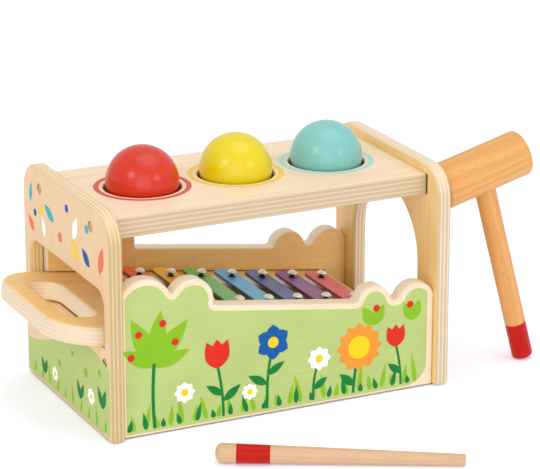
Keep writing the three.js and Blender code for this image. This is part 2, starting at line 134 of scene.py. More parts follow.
# One value inside an upright box and another outside it, the box given in millimetres
def boxShare(tree, place, middle, half, inside, outside):
    scaled = addNode(tree, "Mapping", {}, {
        "Vector": place, "Scale": (1 / (half[0] * mm), 1 / (half[1] * mm), 0),
        "Location": (-middle[0] / half[0], -middle[1] / half[1], 0)})
    spread = addNode(tree, "VectorMath", {"operation": "ABSOLUTE"}, {0: scaled.outputs[0]})
    reach = addNode(tree, "SeparateXYZ", {}, {0: spread.outputs[0]})
    furthest = addNode(tree, "Math", {"operation": "MAXIMUM"}, {
        0: reach.outputs["X"], 1: reach.outputs["Y"]})
    return addNode(tree, "MapRange", {}, {
        0: furthest.outputs[0], 1: 0.99, 2: 1.01, 3: inside, 4: outside}).outputs[0]


def birchPlywood(name, look, grain, outer):
    material, tree, shader = startMaterial(name)
    coords = addNode(tree, "TexCoord", {}, {})
    objectPlace = coords.outputs["Object"]
    place = addNode(tree, "SeparateXYZ", {}, {0: objectPlace})
    facing = addNode(tree, "SeparateXYZ", {}, {0: coords.outputs["Normal"]})
    stretched = {}
    for pattern in ("streak", "figure", "pore"):
        per = [1 / (look[pattern + "Width"] * mm)] * 3
        per[grain] = 1 / (look[pattern + "Length"] * mm)
        stretched[pattern] = addNode(tree, "Mapping", {}, {"Vector": objectPlace, "Scale": per}).outputs[0]
    streak = addNode(tree, "TexNoise", {}, {
        "Vector": stretched["streak"], "Scale": 1.0, "Detail": 4.0, "Roughness": 0.62})
    figure = addNode(tree, "TexNoise", {}, {
        "Vector": stretched["figure"], "Scale": 1.0, "Detail": 2.0, "Distortion": 0.9})
    pore = addNode(tree, "TexNoise", {}, {"Vector": stretched["pore"], "Scale": 1.0, "Detail": 1.0})
    streakShare = addNode(tree, "MapRange", {}, {
        0: streak.outputs["Fac"], 1: 0.34, 2: 0.72, 3: 0.1, 4: 0.75})
    figureShare = addNode(tree, "MapRange", {}, {
        0: figure.outputs["Fac"], 1: 0.46, 2: 0.74, 3: 0.0, 4: 0.34})
    poreShare = addNode(tree, "MapRange", {}, {
        0: pore.outputs["Fac"], 1: 0.66, 2: 0.74, 3: 0.0, 4: 0.3})
    veneer = addNode(tree, "Mix", inColour, {
        0: streakShare.outputs[0], 6: linear(look["veneer"]), 7: linear(look["veneerDeep"])})
    # Painted bounce light: the inner side gets a yellower veneer, standing in for warm light bounced between
    # the inner faces
    if outer:
        back = addNode(tree, "Mix", inColour, {
            0: streakShare.outputs[0], 6: linear(look["bounceLitVeneer"]), 7: linear(look["bounceLitDeep"])})
        isBounceLit = "LESS_THAN" if outer > 0 else "GREATER_THAN"
        bounceLitSide = addNode(tree, "Math", {"operation": isBounceLit}, {0: place.outputs["Z"], 1: 0.0})
        veneer = addNode(tree, "Mix", inColour, {
            0: bounceLitSide.outputs[0], 6: veneer.outputs[2], 7: back.outputs[2]})
    figured = addNode(tree, "Mix", inColour, {
        0: figureShare.outputs[0], 6: veneer.outputs[2], 7: linear(look["figure"])})
    face = addNode(tree, "Mix", inColour, {
        0: poreShare.outputs[0], 6: figured.outputs[2], 7: linear(look["glueLine"])})

    # Which ply the surface cuts, counted from the middle of the board
    wander = addNode(tree, "Math", {"operation": "MULTIPLY_ADD"}, {
        0: figure.outputs["Fac"], 1: look["plyWander"] * mm, 2: place.outputs["Z"]})
    centred = addNode(tree, "Math", {"operation": "SUBTRACT"}, {
        0: wander.outputs[0], 1: look["plyWander"] * mm / 2})
    layer = addNode(tree, "Math", {"operation": "DIVIDE"}, {
        0: centred.outputs[0], 1: look["plyThickness"] * mm})
    index = addNode(tree, "Math", {"operation": "ROUND"}, {0: layer.outputs[0]})
    odd = addNode(tree, "Math", {"operation": "PINGPONG"}, {0: index.outputs[0], 1: 1.0})
    even = addNode(tree, "Math", {"operation": "SUBTRACT"}, {0: 1.0, 1: odd.outputs[0]})
    alongGrain = facing.outputs["XYZ"[grain]]
    endOn = addNode(tree, "Math", {"operation": "MULTIPLY"}, {0: alongGrain, 1: alongGrain})
    endGrain = addNode(tree, "Mix", {"data_type": "FLOAT"}, {
        0: endOn.outputs[0], 2: odd.outputs[0], 3: even.outputs[0]})
    offMiddle = addNode(tree, "Math", {"operation": "SUBTRACT"}, {
        0: layer.outputs[0], 1: index.outputs[0]})
    fromMiddle = addNode(tree, "Math", {"operation": "ABSOLUTE"}, {0: offMiddle.outputs[0]})
    glue = addNode(tree, "MapRange", {}, {
        0: fromMiddle.outputs[0], 1: 0.36, 2: 0.5, 3: 0.0, 4: look["plyContrast"] * 0.8})
    mottled = addNode(tree, "Math", {"operation": "MULTIPLY_ADD"}, {
        0: streakShare.outputs[0], 1: 0.28, 2: -0.1})
    plyTone = addNode(tree, "Math", {"operation": "MULTIPLY_ADD", "use_clamp": True}, {
        0: endGrain.outputs[0], 1: look["plyContrast"], 2: mottled.outputs[0]})
    ply = addNode(tree, "Mix", inColour, {
        0: plyTone.outputs[0], 6: linear(look["longPly"]), 7: linear(look["endPly"])})
    glued = addNode(tree, "Mix", inColour, {
        0: glue.outputs[0], 6: ply.outputs[2], 7: linear(look["glueLine"])})
    flat = addNode(tree, "Math", {"operation": "ABSOLUTE"}, {0: facing.outputs["Z"]})
    edge = addNode(tree, "MapRange", {}, {0: flat.outputs[0], 1: 0.97, 2: 0.8, 3: 0.0, 4: 1.0})
    edgeColour = glued.outputs[2]
    # Painted light: edges inside the opening are painted paler, standing in for light reaching into its shade
    if look["opening"]:
        middle, half = look["opening"][:2], look["opening"][2:]
        openingLight = boxShare(tree, objectPlace, middle, half, look["openingLift"], 1.0)
        edgeColour = addNode(tree, "VectorMath", {"operation": "SCALE"}, {
            0: edgeColour, "Scale": openingLight}).outputs[0]
    # Painted light: upward-facing edges are painted paler, as if lit from above
    if look["upperEdgePaintedLight"]:
        paintedLightUpward = addNode(tree, "MapRange", {}, {0: facing.outputs["Y"], 1: 0.1, 2: 0.8, 3: 0.0, 4: 1.0})
        paintedLitEdge = addNode(tree, "VectorMath", {"operation": "MULTIPLY"}, {0: edgeColour, 1: look["upperEdgePaintedLight"]})
        edgeColour = addNode(tree, "Mix", inColour, {
            0: paintedLightUpward.outputs[0], 6: edgeColour, 7: paintedLitEdge.outputs[0]}).outputs[2]
    colour = addNode(tree, "Mix", inColour, {
        0: edge.outputs[0], 6: face.outputs[2], 7: edgeColour})
    low, high = look["roughness"]
    rough = addNode(tree, "MapRange", {}, {0: streak.outputs["Fac"], 1: 0.3, 2: 0.7, 3: low, 4: high})
    bump = addNode(tree, "Bump", {}, {
        "Strength": 0.18, "Distance": 0.2 * mm, "Height": streak.outputs["Fac"]})
    setInputs(tree, shader, {
        "IOR": 1.5, "Coat Weight": 0.12, "Coat Roughness": 0.3, "Base Color": colour.outputs[2],
        "Roughness": rough.outputs[0], "Normal": bump.outputs[0]})
    return material


# Steamed beech, turned on a lathe and oiled: warm tan with soft growth bands along the turning axis and
# the short dark ray flecks that beech always shows
beech = {
    "pale": "#E3A75C",
    "deep": "#D08D48",
    "fleck": "#AB7038",
    "bandSpacing": 5.5,
    "pithOffset": (31, 17),
    "waver": 8,                 # how far the bands wander, in patches of this width and length
    "waverWidth": 11.1111,
    "waverLength": 83.3333,
    "fleckLength": 3.2,
    "fleckWidth": 0.55,         # real flecks are half as wide, drawn so that they show
    "roughness": (0.4, 0.55),
}


def turnedBeech(name, look):
    material, tree, shader = startMaterial(name)
    coords = addNode(tree, "TexCoord", {}, {})
    objectPlace = coords.outputs["Object"]
    facing = addNode(tree, "SeparateXYZ", {}, {0: coords.outputs["Normal"]})
    wide = 1 / (look["waverWidth"] * mm)
    waverPlace = addNode(tree, "Mapping", {}, {
        "Vector": objectPlace, "Scale": (wide, wide, 1 / (look["waverLength"] * mm))})
    waver = addNode(tree, "TexNoise", {}, {"Vector": waverPlace.outputs[0], "Scale": 1.0, "Detail": 2.0})
    pithX, pithY = look["pithOffset"]
    fromPith = addNode(tree, "Mapping", {}, {
        "Vector": objectPlace, "Location": (pithX * mm, pithY * mm, 0), "Scale": (1, 1, 0)})
    radius = addNode(tree, "VectorMath", {"operation": "LENGTH"}, {0: fromPith.outputs[0]})
    wavered = addNode(tree, "Math", {"operation": "MULTIPLY_ADD"}, {
        0: waver.outputs["Fac"], 1: look["waver"] * mm, 2: radius.outputs["Value"]})
    band = addNode(tree, "Math", {"operation": "MULTIPLY"}, {
        0: wavered.outputs[0], 1: 2 * math.pi / (look["bandSpacing"] * mm)})
    wave = addNode(tree, "Math", {"operation": "SINE"}, {0: band.outputs[0]})
    bandShare = addNode(tree, "MapRange", {}, {0: wave.outputs[0], 1: -1.0, 2: 1.0, 3: 0.12, 4: 0.62})
    wide = 1 / (look["fleckWidth"] * mm)
    fleckPlace = addNode(tree, "Mapping", {}, {
        "Vector": objectPlace, "Scale": (wide, wide, 1 / (look["fleckLength"] * mm))})
    fleck = addNode(tree, "TexNoise", {}, {"Vector": fleckPlace.outputs[0], "Scale": 1.0, "Detail": 1.0})
    fleckShare = addNode(tree, "MapRange", {}, {
        0: fleck.outputs["Fac"], 1: 0.62, 2: 0.72, 3: 0.0, 4: 0.45})
    endOn = addNode(tree, "Math", {"operation": "MULTIPLY"}, {
        0: facing.outputs["Z"], 1: facing.outputs["Z"]})
    endShare = addNode(tree, "Math", {"operation": "MULTIPLY_ADD", "use_clamp": True}, {
        0: endOn.outputs[0], 1: 0.14, 2: bandShare.outputs[0]})
    wood = addNode(tree, "Mix", inColour, {
        0: endShare.outputs[0], 6: linear(look["pale"]), 7: linear(look["deep"])})
    flecked = addNode(tree, "Mix", inColour, {
        0: fleckShare.outputs[0], 6: wood.outputs[2], 7: linear(look["fleck"])})
    low, high = look["roughness"]
    rough = addNode(tree, "MapRange", {}, {0: fleck.outputs["Fac"], 1: 0.3, 2: 0.7, 3: low, 4: high})
    bump = addNode(tree, "Bump", {}, {
        "Strength": 0.2, "Distance": 0.2 * mm, "Height": fleck.outputs["Fac"]})
    setInputs(tree, shader, {
        "IOR": 1.5, "Coat Weight": 0.08, "Coat Roughness": 0.35, "Base Color": flecked.outputs[2],
        "Roughness": rough.outputs[0], "Normal": bump.outputs[0]})
    return material


# Paints differ in how they were put on: sprayed enamel has a clear coat with soft highlights and faint orange
# peel, baked bar paint is satin, with painted shade darkening the bars' upright sides, screen-printed ink is
# thin and matt with fine streaks along the wood, dipped paint pools smoothly. Grit is the film's grain along
# X, Y and Z, shade how uneven it is, side how light the upright sides stay under that painted shade
paints = {
    "sprayed": {"roughness": (0.31, 0.43), "coat": 1.0, "coatRoughness": 0.24, "grit": (2.2, 2.2, 2.2),
                "shade": 0.03, "bump": 0.05, "shine": 0.0, "side": 1.0},
    "baked": {"roughness": (0.31, 0.43), "coat": 0.12, "coatRoughness": 0.3, "grit": (0.9, 14, 0.9),
              "shade": 0.1, "bump": 0.06, "shine": 0.5, "side": 0.3},
    "printed": {"roughness": (0.55, 0.67), "coat": 0.0, "coatRoughness": 0.4, "grit": (30, 1.1, 1.1),
                "shade": 0.05, "bump": 0.1, "shine": 0.2, "side": 1.0},
    "dipped": {"roughness": (0.27, 0.39), "coat": 0.06, "coatRoughness": 0.2, "grit": (3, 3, 12),
               "shade": 0.08, "bump": 0.06, "shine": 0.14, "side": 1.0},
}
paintPatch = 26                 # width of the soft patches in every paint


def paint(name, kind, hexColour):
    look = paints[kind]
    material, tree, shader = startMaterial(name)
    coords = addNode(tree, "TexCoord", {}, {})
    spread = addNode(tree, "Mapping", {}, {
        "Vector": coords.outputs["Object"], "Scale": [1 / (g * mm) for g in look["grit"]]})
    grit = addNode(tree, "TexNoise", {}, {
        "Vector": spread.outputs[0], "Scale": 1.0, "Detail": 3.0, "Roughness": 0.5})
    cloud = addNode(tree, "TexNoise", {}, {
        "Vector": coords.outputs["Object"], "Scale": 1 / (paintPatch * mm), "Detail": 2.0})
    both = addNode(tree, "Math", {"operation": "MULTIPLY"}, {
        0: grit.outputs["Fac"], 1: cloud.outputs["Fac"]})
    value = addNode(tree, "MapRange", {}, {
        0: both.outputs[0], 1: 0.1, 2: 0.45, 3: 1 - look["shade"], 4: 1 + look["shade"]})
    # Painted shade: upright sides are multiplied by the side share, darkening them as if in shade
    facing = addNode(tree, "SeparateXYZ", {}, {0: coords.outputs["Normal"]})
    flat = addNode(tree, "Math", {"operation": "ABSOLUTE"}, {0: facing.outputs["Z"]})
    side = addNode(tree, "MapRange", {}, {
        0: flat.outputs[0], 1: 0.3, 2: 0.85, 3: look["side"], 4: 1.0})
    shaded = addNode(tree, "Math", {"operation": "MULTIPLY"}, {0: value.outputs[0], 1: side.outputs[0]})
    toned = addNode(tree, "HueSaturation", {}, {
        "Color": linear(hexColour), "Value": shaded.outputs[0]})
    low, high = look["roughness"]
    rough = addNode(tree, "MapRange", {}, {0: grit.outputs["Fac"], 1: 0.3, 2: 0.7, 3: low, 4: high})
    bump = addNode(tree, "Bump", {}, {
        "Strength": look["bump"], "Distance": 0.2 * mm, "Height": grit.outputs["Fac"]})
    setInputs(tree, shader, {
        "IOR": 1.5, "Coat Weight": look["coat"], "Coat Roughness": look["coatRoughness"],
        "Specular IOR Level": look["shine"], "Base Color": toned.outputs[0], "Roughness": rough.outputs[0],
        "Normal": bump.outputs[0]})
    return material


# Zinc-plated steel, tumbled: a bright, slightly cloudy white metal with soft reflections and fine scuffs on
# the heads, and painted shade on the shank below them, where the head's shadow falls
def platedSteel(name, headHeight):
    material, tree, shader = startMaterial(name)
    coords = addNode(tree, "TexCoord", {}, {})
    scuff = addNode(tree, "TexNoise", {}, {
        "Vector": coords.outputs["Object"], "Scale": 1 / (0.7 * mm), "Detail": 4.0, "Roughness": 0.7})
    tone = addNode(tree, "Mix", inColour, {
        0: scuff.outputs["Fac"], 6: linear("#FFFFFD"), 7: linear("#F2F0EA")})
    place = addNode(tree, "SeparateXYZ", {}, {0: coords.outputs["Object"]})
    # Painted shade: below the head the screw is painted dark brown, as the head's shadow
    head = addNode(tree, "MapRange", {}, {
        0: place.outputs["Z"], 1: headHeight * mm, 2: (headHeight + 0.5) * mm, 3: 0.0, 4: 1.0})
    shadeUnderHead = addNode(tree, "Mix", inColour, {
        0: head.outputs[0], 6: linear("#2A2119"), 7: tone.outputs[2]})
    rough = addNode(tree, "MapRange", {}, {0: scuff.outputs["Fac"], 1: 0.3, 2: 0.75, 3: 0.2, 4: 0.32})
    setInputs(tree, shader, {
        "Metallic": 0.25, "Base Color": shadeUnderHead.outputs[2], "Roughness": rough.outputs[0]})
    return material


# Pressed wool felt, cut from sheet: matt white with a tangle of fibres that catches light at its edge
def woolFelt(name):
    material, tree, shader = startMaterial(name)
    coords = addNode(tree, "TexCoord", {}, {})
    fibre = addNode(tree, "TexNoise", {}, {
        "Vector": coords.outputs["Object"], "Scale": 1 / (0.6 * mm), "Detail": 5.0,
        "Roughness": 0.7, "Distortion": 1.5})
    tone = addNode(tree, "Mix", inColour, {
        0: fibre.outputs["Fac"], 6: linear("#DAD6CB"), 7: linear("#FAF8F2")})
    bump = addNode(tree, "Bump", {}, {
        "Strength": 0.7, "Distance": 0.3 * mm, "Height": fibre.outputs["Fac"]})
    setInputs(tree, shader, {
        "Roughness": 0.95, "Sheen Weight": 0.5, "Sheen Roughness": 0.5, "Sheen Tint": linear("#FFFFFF"),
        "Base Color": tone.outputs[2], "Normal": bump.outputs[0]})
    return material


# Moulded black rubber: dull, slightly dusty bloom
def mouldedRubber(name):
    material, tree, shader = startMaterial(name)
    coords = addNode(tree, "TexCoord", {}, {})
    bloom = addNode(tree, "TexNoise", {}, {
        "Vector": coords.outputs["Object"], "Scale": 1 / (3 * mm), "Detail": 3.0})
    tone = addNode(tree, "Mix", inColour, {
        0: bloom.outputs["Fac"], 6: linear("#1F1E1C"), 7: linear("#3A3835")})
    rough = addNode(tree, "MapRange", {}, {0: bloom.outputs["Fac"], 1: 0.3, 2: 0.7, 3: 0.6, 4: 0.8})
    setInputs(tree, shader, {
        "IOR": 1.52, "Specular IOR Level": 0.35, "Base Color": tone.outputs[2],
        "Roughness": rough.outputs[0]})
    return material


plyTop = birchPlywood("birchPlywoodSandedBoard", birch, 0, 1)
plyCheek = {"front": birchPlywood("birchPlywoodSandedFront", cheekBirch, 0, 1),
            "back": birchPlywood("birchPlywoodSandedBack", cheekBirch, 0, -1)}
plyPanel = {"left": birchPlywood("birchPlywoodSandedLeft", leftBirch, 1, -1),
            "right": birchPlywood("birchPlywoodSandedRight", rightBirch, 1, 1)}
plyTray = birchPlywood("birchPlywoodHoneyLacquered", honey, 0, 0)
beechTurned = turnedBeech("beechTurnedOiled", beech)
beechPale = turnedBeech("beechTurnedBare", {
    **beech, "pale": "#D2AD87", "deep": "#C79C73", "fleck": "#B18862", "bandSpacing": 3.2})
dowelWood = turnedBeech("dowelEndGrain", {
    **beech, "pale": "#C9A473", "deep": "#A98252", "fleck": "#7F5C36", "bandSpacing": 1.6, "fleckWidth": 0.4})
redDip = paint("redPaintDipped", "dipped", "#BC1003")
steel = platedSteel("steelZincPlated", headHeight=7.75)
felt = woolFelt("woolFeltPressed")
rubber = mouldedRubber("rubberMoulded")
inkColours = {
    "lightGreen": "#B4C577", "lime": "#84B81E", "darkGreen": "#0C7A34", "blue": "#08589C",
    "yellow": "#F5CA14", "orange": "#EA9330", "red": "#D62A18", "white": "#FBFAF5", "teal": "#3AB0B0",
    "coral": "#EC7052", "ringRed": "#CE6252", "ringYellow": "#EFC75A", "ringTeal": "#AAD6D0",
}
inks = {key: paint("screenPrintInk." + key, "printed", value) for key, value in inkColours.items()}
print("materials made:", len(bpy.data.materials))


# Meshes

roundSteps = 5
boreSegments = 40


def meshFrom(bm, name):
    mesh = bpy.data.meshes.new(name)
    bm.to_mesh(mesh)
    bm.free()
    return mesh


def arc(x, y, radius, start, end, fineness=4):
    steps = max(3, math.ceil(abs(end - start) / math.radians(fineness)))
    turns = [start + (end - start) * i / steps for i in range(steps + 1)]
    return [(x + radius * math.cos(t), y + radius * math.sin(t)) for t in turns]


def roundedOutline(left, right, low, high, radii):
    lowRight, highRight, highLeft, lowLeft = radii
    quarter = math.pi / 2
    return [
        *arc(right - lowRight, low + lowRight, lowRight, -quarter, 0),
        *arc(right - highRight, high - highRight, highRight, 0, quarter),
        *arc(left + highLeft, high - highLeft, highLeft, quarter, 2 * quarter),
        *arc(left + lowLeft, low + lowLeft, lowLeft, 2 * quarter, 3 * quarter),
    ]


def circle(x, y, radius, fineness=5):
    return arc(x, y, radius, 0, 2 * math.pi, fineness)[:-1]


# Loop without doubled points, running so that the material is on its left
def cleanLoop(loop, hole):
    kept = []
    for point in loop:
        if not kept or math.dist(point, kept[-1]) > 0.01:
            kept.append(point)
    if math.dist(kept[0], kept[-1]) < 0.01:
        kept.pop()
    area = sum(a[0] * b[1] - b[0] * a[1] for a, b in zip(kept, kept[1:] + kept[:1]))
    return kept[::-1] if (area < 0) != hole else kept


# Unit steps into the material at each point of a loop, lengthened at corners
def inwardSteps(loop):
    steps = []
    for i, here in enumerate(loop):
        before = Vector(here) - Vector(loop[i - 1])
        after = Vector(loop[(i + 1) % len(loop)]) - Vector(here)
        a = Vector((-before.y, before.x)).normalized()
        b = Vector((-after.y, after.x)).normalized()
        steps.append((a + b) / max(0.4, 1 + a.dot(b)))
    return steps


# Flat board with rounded edges and holes; a hole may have its own wall of (depth into the wood, height)
def boardMesh(name, outer, holes, thickness, edgeRound, holeWall=None):
    bm = bmesh.new()
    half = thickness / 2
    wall = [(0, -half), (0, half)]
    if edgeRound:
        turns = [math.pi / 2 * k / roundSteps for k in range(roundSteps + 1)]
        rise = [(edgeRound * (1 - math.sin(t)), edgeRound * (1 - math.cos(t)) - half) for t in turns]
        wall = rise + [(depth, -height) for depth, height in reversed(rise)]
    caps = ([], [])
    for number, loop in enumerate([outer, *holes]):
        points = cleanLoop(loop, number > 0)
        steps = inwardSteps(points)
        profile = holeWall if number and holeWall else wall
        rings = []
        for depth, height in profile:
            rings.append([bm.verts.new((x + s.x * depth, y + s.y * depth, height))
                          for (x, y), s in zip(points, steps)])
        count = len(points)
        for low, high in zip(rings, rings[1:]):
            for i in range(count):
                bm.faces.new((low[i], low[(i + 1) % count], high[(i + 1) % count], high[i]))
        for edges, ring in zip(caps, (rings[0], rings[-1])):
            edges += [bm.edges.get((ring[i], ring[(i + 1) % count])) for i in range(count)]
    for edges in caps:
        bmesh.ops.triangle_fill(bm, edges=edges, use_beauty=True, use_dissolve=False)
    bmesh.ops.recalc_face_normals(bm, faces=bm.faces)
    return meshFrom(bm, name)


# Turned piece from (radius, height) pairs, bottom to top; a closed profile makes a ring
def turnedMesh(name, profile, segments, closed=False):
    bm = bmesh.new()
    rings = []
    for radius, height in profile:
        if radius < 1e-6:
            rings.append([bm.verts.new((0, 0, height))])
            continue
        turns = [2 * math.pi * i / segments for i in range(segments)]
        rings.append([bm.verts.new((radius * math.cos(t), radius * math.sin(t), height)) for t in turns])
    pairs = list(zip(rings, rings[1:]))
    if closed:
        pairs.append((rings[-1], rings[0]))
    for low, high in pairs:
        for i in range(segments):
            j = (i + 1) % segments
            corners = [low[i % len(low)], low[j % len(low)], high[j % len(high)], high[i % len(high)]]
            bm.faces.new(list(dict.fromkeys(corners)))
    bmesh.ops.recalc_face_normals(bm, faces=bm.faces)
    return meshFrom(bm, name)


def quarterRound(radius, height, rounding, start, end, steps=6):
    turns = [math.pi / 2 * (start + (end - start) * i / steps) for i in range(steps + 1)]
    return [(radius + rounding * math.cos(t), height + rounding * math.sin(t)) for t in turns]


# Cuts round bores (matrix, radius, length) and square slots (matrix of a unit cube) out of a mesh
def cutAway(mesh, bores=(), slots=()):
    bm = bmesh.new()
    for matrix, radius, length in bores:
        bmesh.ops.create_cone(bm, cap_ends=True, segments=boreSegments, radius1=radius, radius2=radius,
                              depth=length, matrix=matrix)
    for matrix in slots:
        bmesh.ops.create_cube(bm, size=1, matrix=matrix)
    work = bpy.data.objects.new("work", mesh)
    tool = bpy.data.objects.new("cutter", meshFrom(bm, "cutter"))
    scene.collection.objects.link(work)
    scene.collection.objects.link(tool)
    cutting = work.modifiers.new("cut", "BOOLEAN")
    cutting.operation = "DIFFERENCE"
    cutting.solver = "EXACT"
    cutting.use_self = True
    cutting.object = tool
    graph = bpy.context.evaluated_depsgraph_get()
    result = bpy.data.meshes.new_from_object(work.evaluated_get(graph))
    result.name = mesh.name
    bpy.data.objects.remove(work)
    bpy.data.objects.remove(tool)
    return result


# Smooth shading, with crisp borders where a flat face begins and at real corners
def shadeMesh(mesh):
    bm = bmesh.new()
    bm.from_mesh(mesh)
    for face in bm.faces:
        face.smooth = True
    for line in bm.edges:
        if len(line.link_faces) == 2:
            flats = [abs(face.normal.z) > 0.9999 for face in line.link_faces]
            line.smooth = flats[0] == flats[1] and line.calc_face_angle(0) < math.radians(32)
    bm.to_mesh(mesh)
    bm.free()


def addPiece(name, mesh, materials, matrix, body, replaced=()):
    shadeMesh(mesh)
    mesh.transform(Matrix.Scale(mm, 4))
    for material in materials:
        mesh.materials.append(material)
    piece = bpy.data.objects.new(name, mesh)
    scene.collection.objects.link(piece)
    piece.matrix_world = matrix
    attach(piece, body)
    if replaced:
        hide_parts(*replaced)
    return piece


def benchAt(x, y, z):
    return Matrix.Translation(benchMid + Vector((x, y, z)) * mm)


# Own frames: panels stand across the bench with X to the back, cheeks along it with Z to the front
acrossBench = Matrix(((0, 0, 1), (1, 0, 0), (0, 1, 0))).to_4x4()
alongBench = Matrix(((1, 0, 0), (0, 0, -1), (0, 1, 0))).to_4x4()
turnToX = Matrix.Rotation(math.pi / 2, 4, "Y")

# Main sizes shared by several pieces
bench = {
    "halfLength": 116,
    "panelThickness": 9,
    "boardTop": 137.2,
    "boardThickness": 13.4,
    "boardHalfDepth": 53.5,
    "housing": 3,
    "housingGap": 0.2,
    "housingEndGap": 2,
    "endGap": 0.1,
    "cheekMiddle": 60.7,
    "cheekThickness": 11,
    "dowelRadius": 3.5,
    "boreGap": 0.15,
    "boreLength": 44,           # half of it runs into the end of a board or cheek
    "dowelHeights": (16, 49),
    "dowelBoardY": 42,
    "trayTilt": math.radians(8.1),
    "trayHeight": 54.9,
    "trayThickness": 12,
    "trayStopGap": 15.5,        # from the right panel's inner face
}
benchSides = {"front": -1, "back": 1}
halfInside = bench["halfLength"] - bench["panelThickness"]
boardMid = bench["boardTop"] - bench["boardThickness"] / 2
boreRadius = bench["dowelRadius"] + bench["boreGap"]
shoulder = halfInside - bench["endGap"]


def trayHeightAt(x, below=0):
    tilt = bench["trayTilt"]
    return bench["trayHeight"] - x * math.tan(tilt) - below / math.cos(tilt)


trayFrame = benchAt(0, 0, bench["trayHeight"]) @ Matrix.Rotation(bench["trayTilt"], 4, "Y")

# Every dowel runs along the bench, so depth and height place it
dowelPlaces = [(side * bench["dowelBoardY"], boardMid) for side in (-1, 1)]
dowelPlaces += [(side * bench["cheekMiddle"], h) for side in (-1, 1) for h in bench["dowelHeights"]]


# Side panels
panels = {
    "halfDepth": 70.8,
    "height": 143.6,
    "radii": (2.5, 20, 20, 2.5),
    "edgeRound": 1.8,
    "windowHalf": 60.1,
    "windowHeadroom": 23.3,
    "windowSillGap": 0.6,
    "windowRadii": (2.5, 10, 10, 2.5),
    "archHalf": 43,
    "archCrown": 116.8,
    "archSillDrop": 9.5,
    "archRadii": (4, 43, 43, 4),
    "boreLength": 30,
}
windowSill = trayHeightAt(-halfInside, bench["trayThickness"]) - panels["windowSillGap"]
windowHead = trayHeightAt(-halfInside) + panels["windowHeadroom"]
archSill = trayHeightAt(halfInside) - panels["archSillDrop"]
openings = {
    "left": roundedOutline(-panels["windowHalf"], panels["windowHalf"], windowSill, windowHead,
                           panels["windowRadii"]),
    "right": roundedOutline(-panels["archHalf"], panels["archHalf"], archSill, panels["archCrown"],
                            panels["archRadii"]),
}
panelOutline = roundedOutline(-panels["halfDepth"], panels["halfDepth"], 0, panels["height"], panels["radii"])
for side, end in (("left", -1), ("right", 1)):
    mesh = boardMesh(side + "Panel", panelOutline, [openings[side]], bench["panelThickness"],
                     panels["edgeRound"])
    bores = [(Matrix.Translation((y, z, 0)), boreRadius, panels["boreLength"]) for y, z in dowelPlaces]
    inner = -end * bench["panelThickness"] / 2
    housing = Matrix.Translation((0, boardMid, inner)) @ Matrix.Diagonal((
        2 * (bench["boardHalfDepth"] + bench["housingEndGap"]),
        bench["boardThickness"] + bench["housingGap"], 2 * bench["housing"], 1))
    mesh = cutAway(mesh, bores, [housing])
    middle = end * (bench["halfLength"] - bench["panelThickness"] / 2)
    addPiece(side + "PanelPly", mesh, [plyPanel[side]], benchAt(middle, 0, 0) @ acrossBench, "bench",
             [side + "_side_panel"])
print("side panels made")


# Top board, with a groove inside each hole for its rubber ring
topBoard = {
    "edgeRound": 1.2,
    "holeRadius": 24.2,
    "pitch": 63.75,
    "ringHeight": 129.86,
    "tongueSetback": 7.5,
    "notchCutter": (10, 20, 40),    # takes off each corner, so that a tongue is left
    "grooveDepth": 3,
    "grooveHalf": 2.3,
}
ballX = {"red": -topBoard["pitch"], "yellow": 0, "teal": topBoard["pitch"]}
boardHalf = shoulder + bench["housing"]
boardDepth = bench["boardHalfDepth"]
boardOutline = [(x * boardHalf, y * boardDepth) for x, y in ((1, -1), (1, 1), (-1, 1), (-1, -1))]
notch = topBoard["notchCutter"]
notchX = shoulder + notch[0] / 2
notchY = boardDepth - topBoard["tongueSetback"] + notch[1] / 2
notches = [Matrix.Translation((x * notchX, y * notchY, 0)) @ Matrix.Diagonal((*notch, 1))
           for x in (-1, 1) for y in (-1, 1)]
halfBoard = bench["boardThickness"] / 2
soft = topBoard["edgeRound"]
ringZ = topBoard["ringHeight"] - boardMid
holeWall = [(soft - x, y - halfBoard + soft) for x, y in quarterRound(0, 0, soft, -1, 0)]
holeWall += [(depth * topBoard["grooveDepth"], ringZ + side * topBoard["grooveHalf"])
             for depth, side in ((0, -1), (1, -1), (1, 1), (0, 1))]
holeWall += [(soft - x, y + halfBoard - soft) for x, y in quarterRound(0, 0, soft, 0, 1)]
boardHoles = [circle(x, 0, topBoard["holeRadius"], 4) for x in ballX.values()]
mesh = boardMesh("topBoard", boardOutline, boardHoles, bench["boardThickness"], soft, holeWall)
bores = [(Matrix.Translation((end * boardHalf, y, 0)) @ turnToX, boreRadius, bench["boreLength"])
         for end in (-1, 1) for y in (-bench["dowelBoardY"], bench["dowelBoardY"])]
addPiece("topBoardPly", cutAway(mesh, bores, notches), [plyTop], benchAt(0, 0, boardMid), "bench",
         ["top_board"])

# Printed rings round the holes
holeRings = {"inner": 27.2, "outer": 30.5, "thickness": 0.08}
for colour, x in ballX.items():
    mesh = boardMesh("holeRing", circle(0, 0, holeRings["outer"], 3), [circle(0, 0, holeRings["inner"], 3)],
                     holeRings["thickness"], 0)
    addPiece("holeRingPrint_" + colour, mesh, [inks["ring" + colour.title()]],
             benchAt(x, 0, bench["boardTop"]), "bench")
print("top board made")


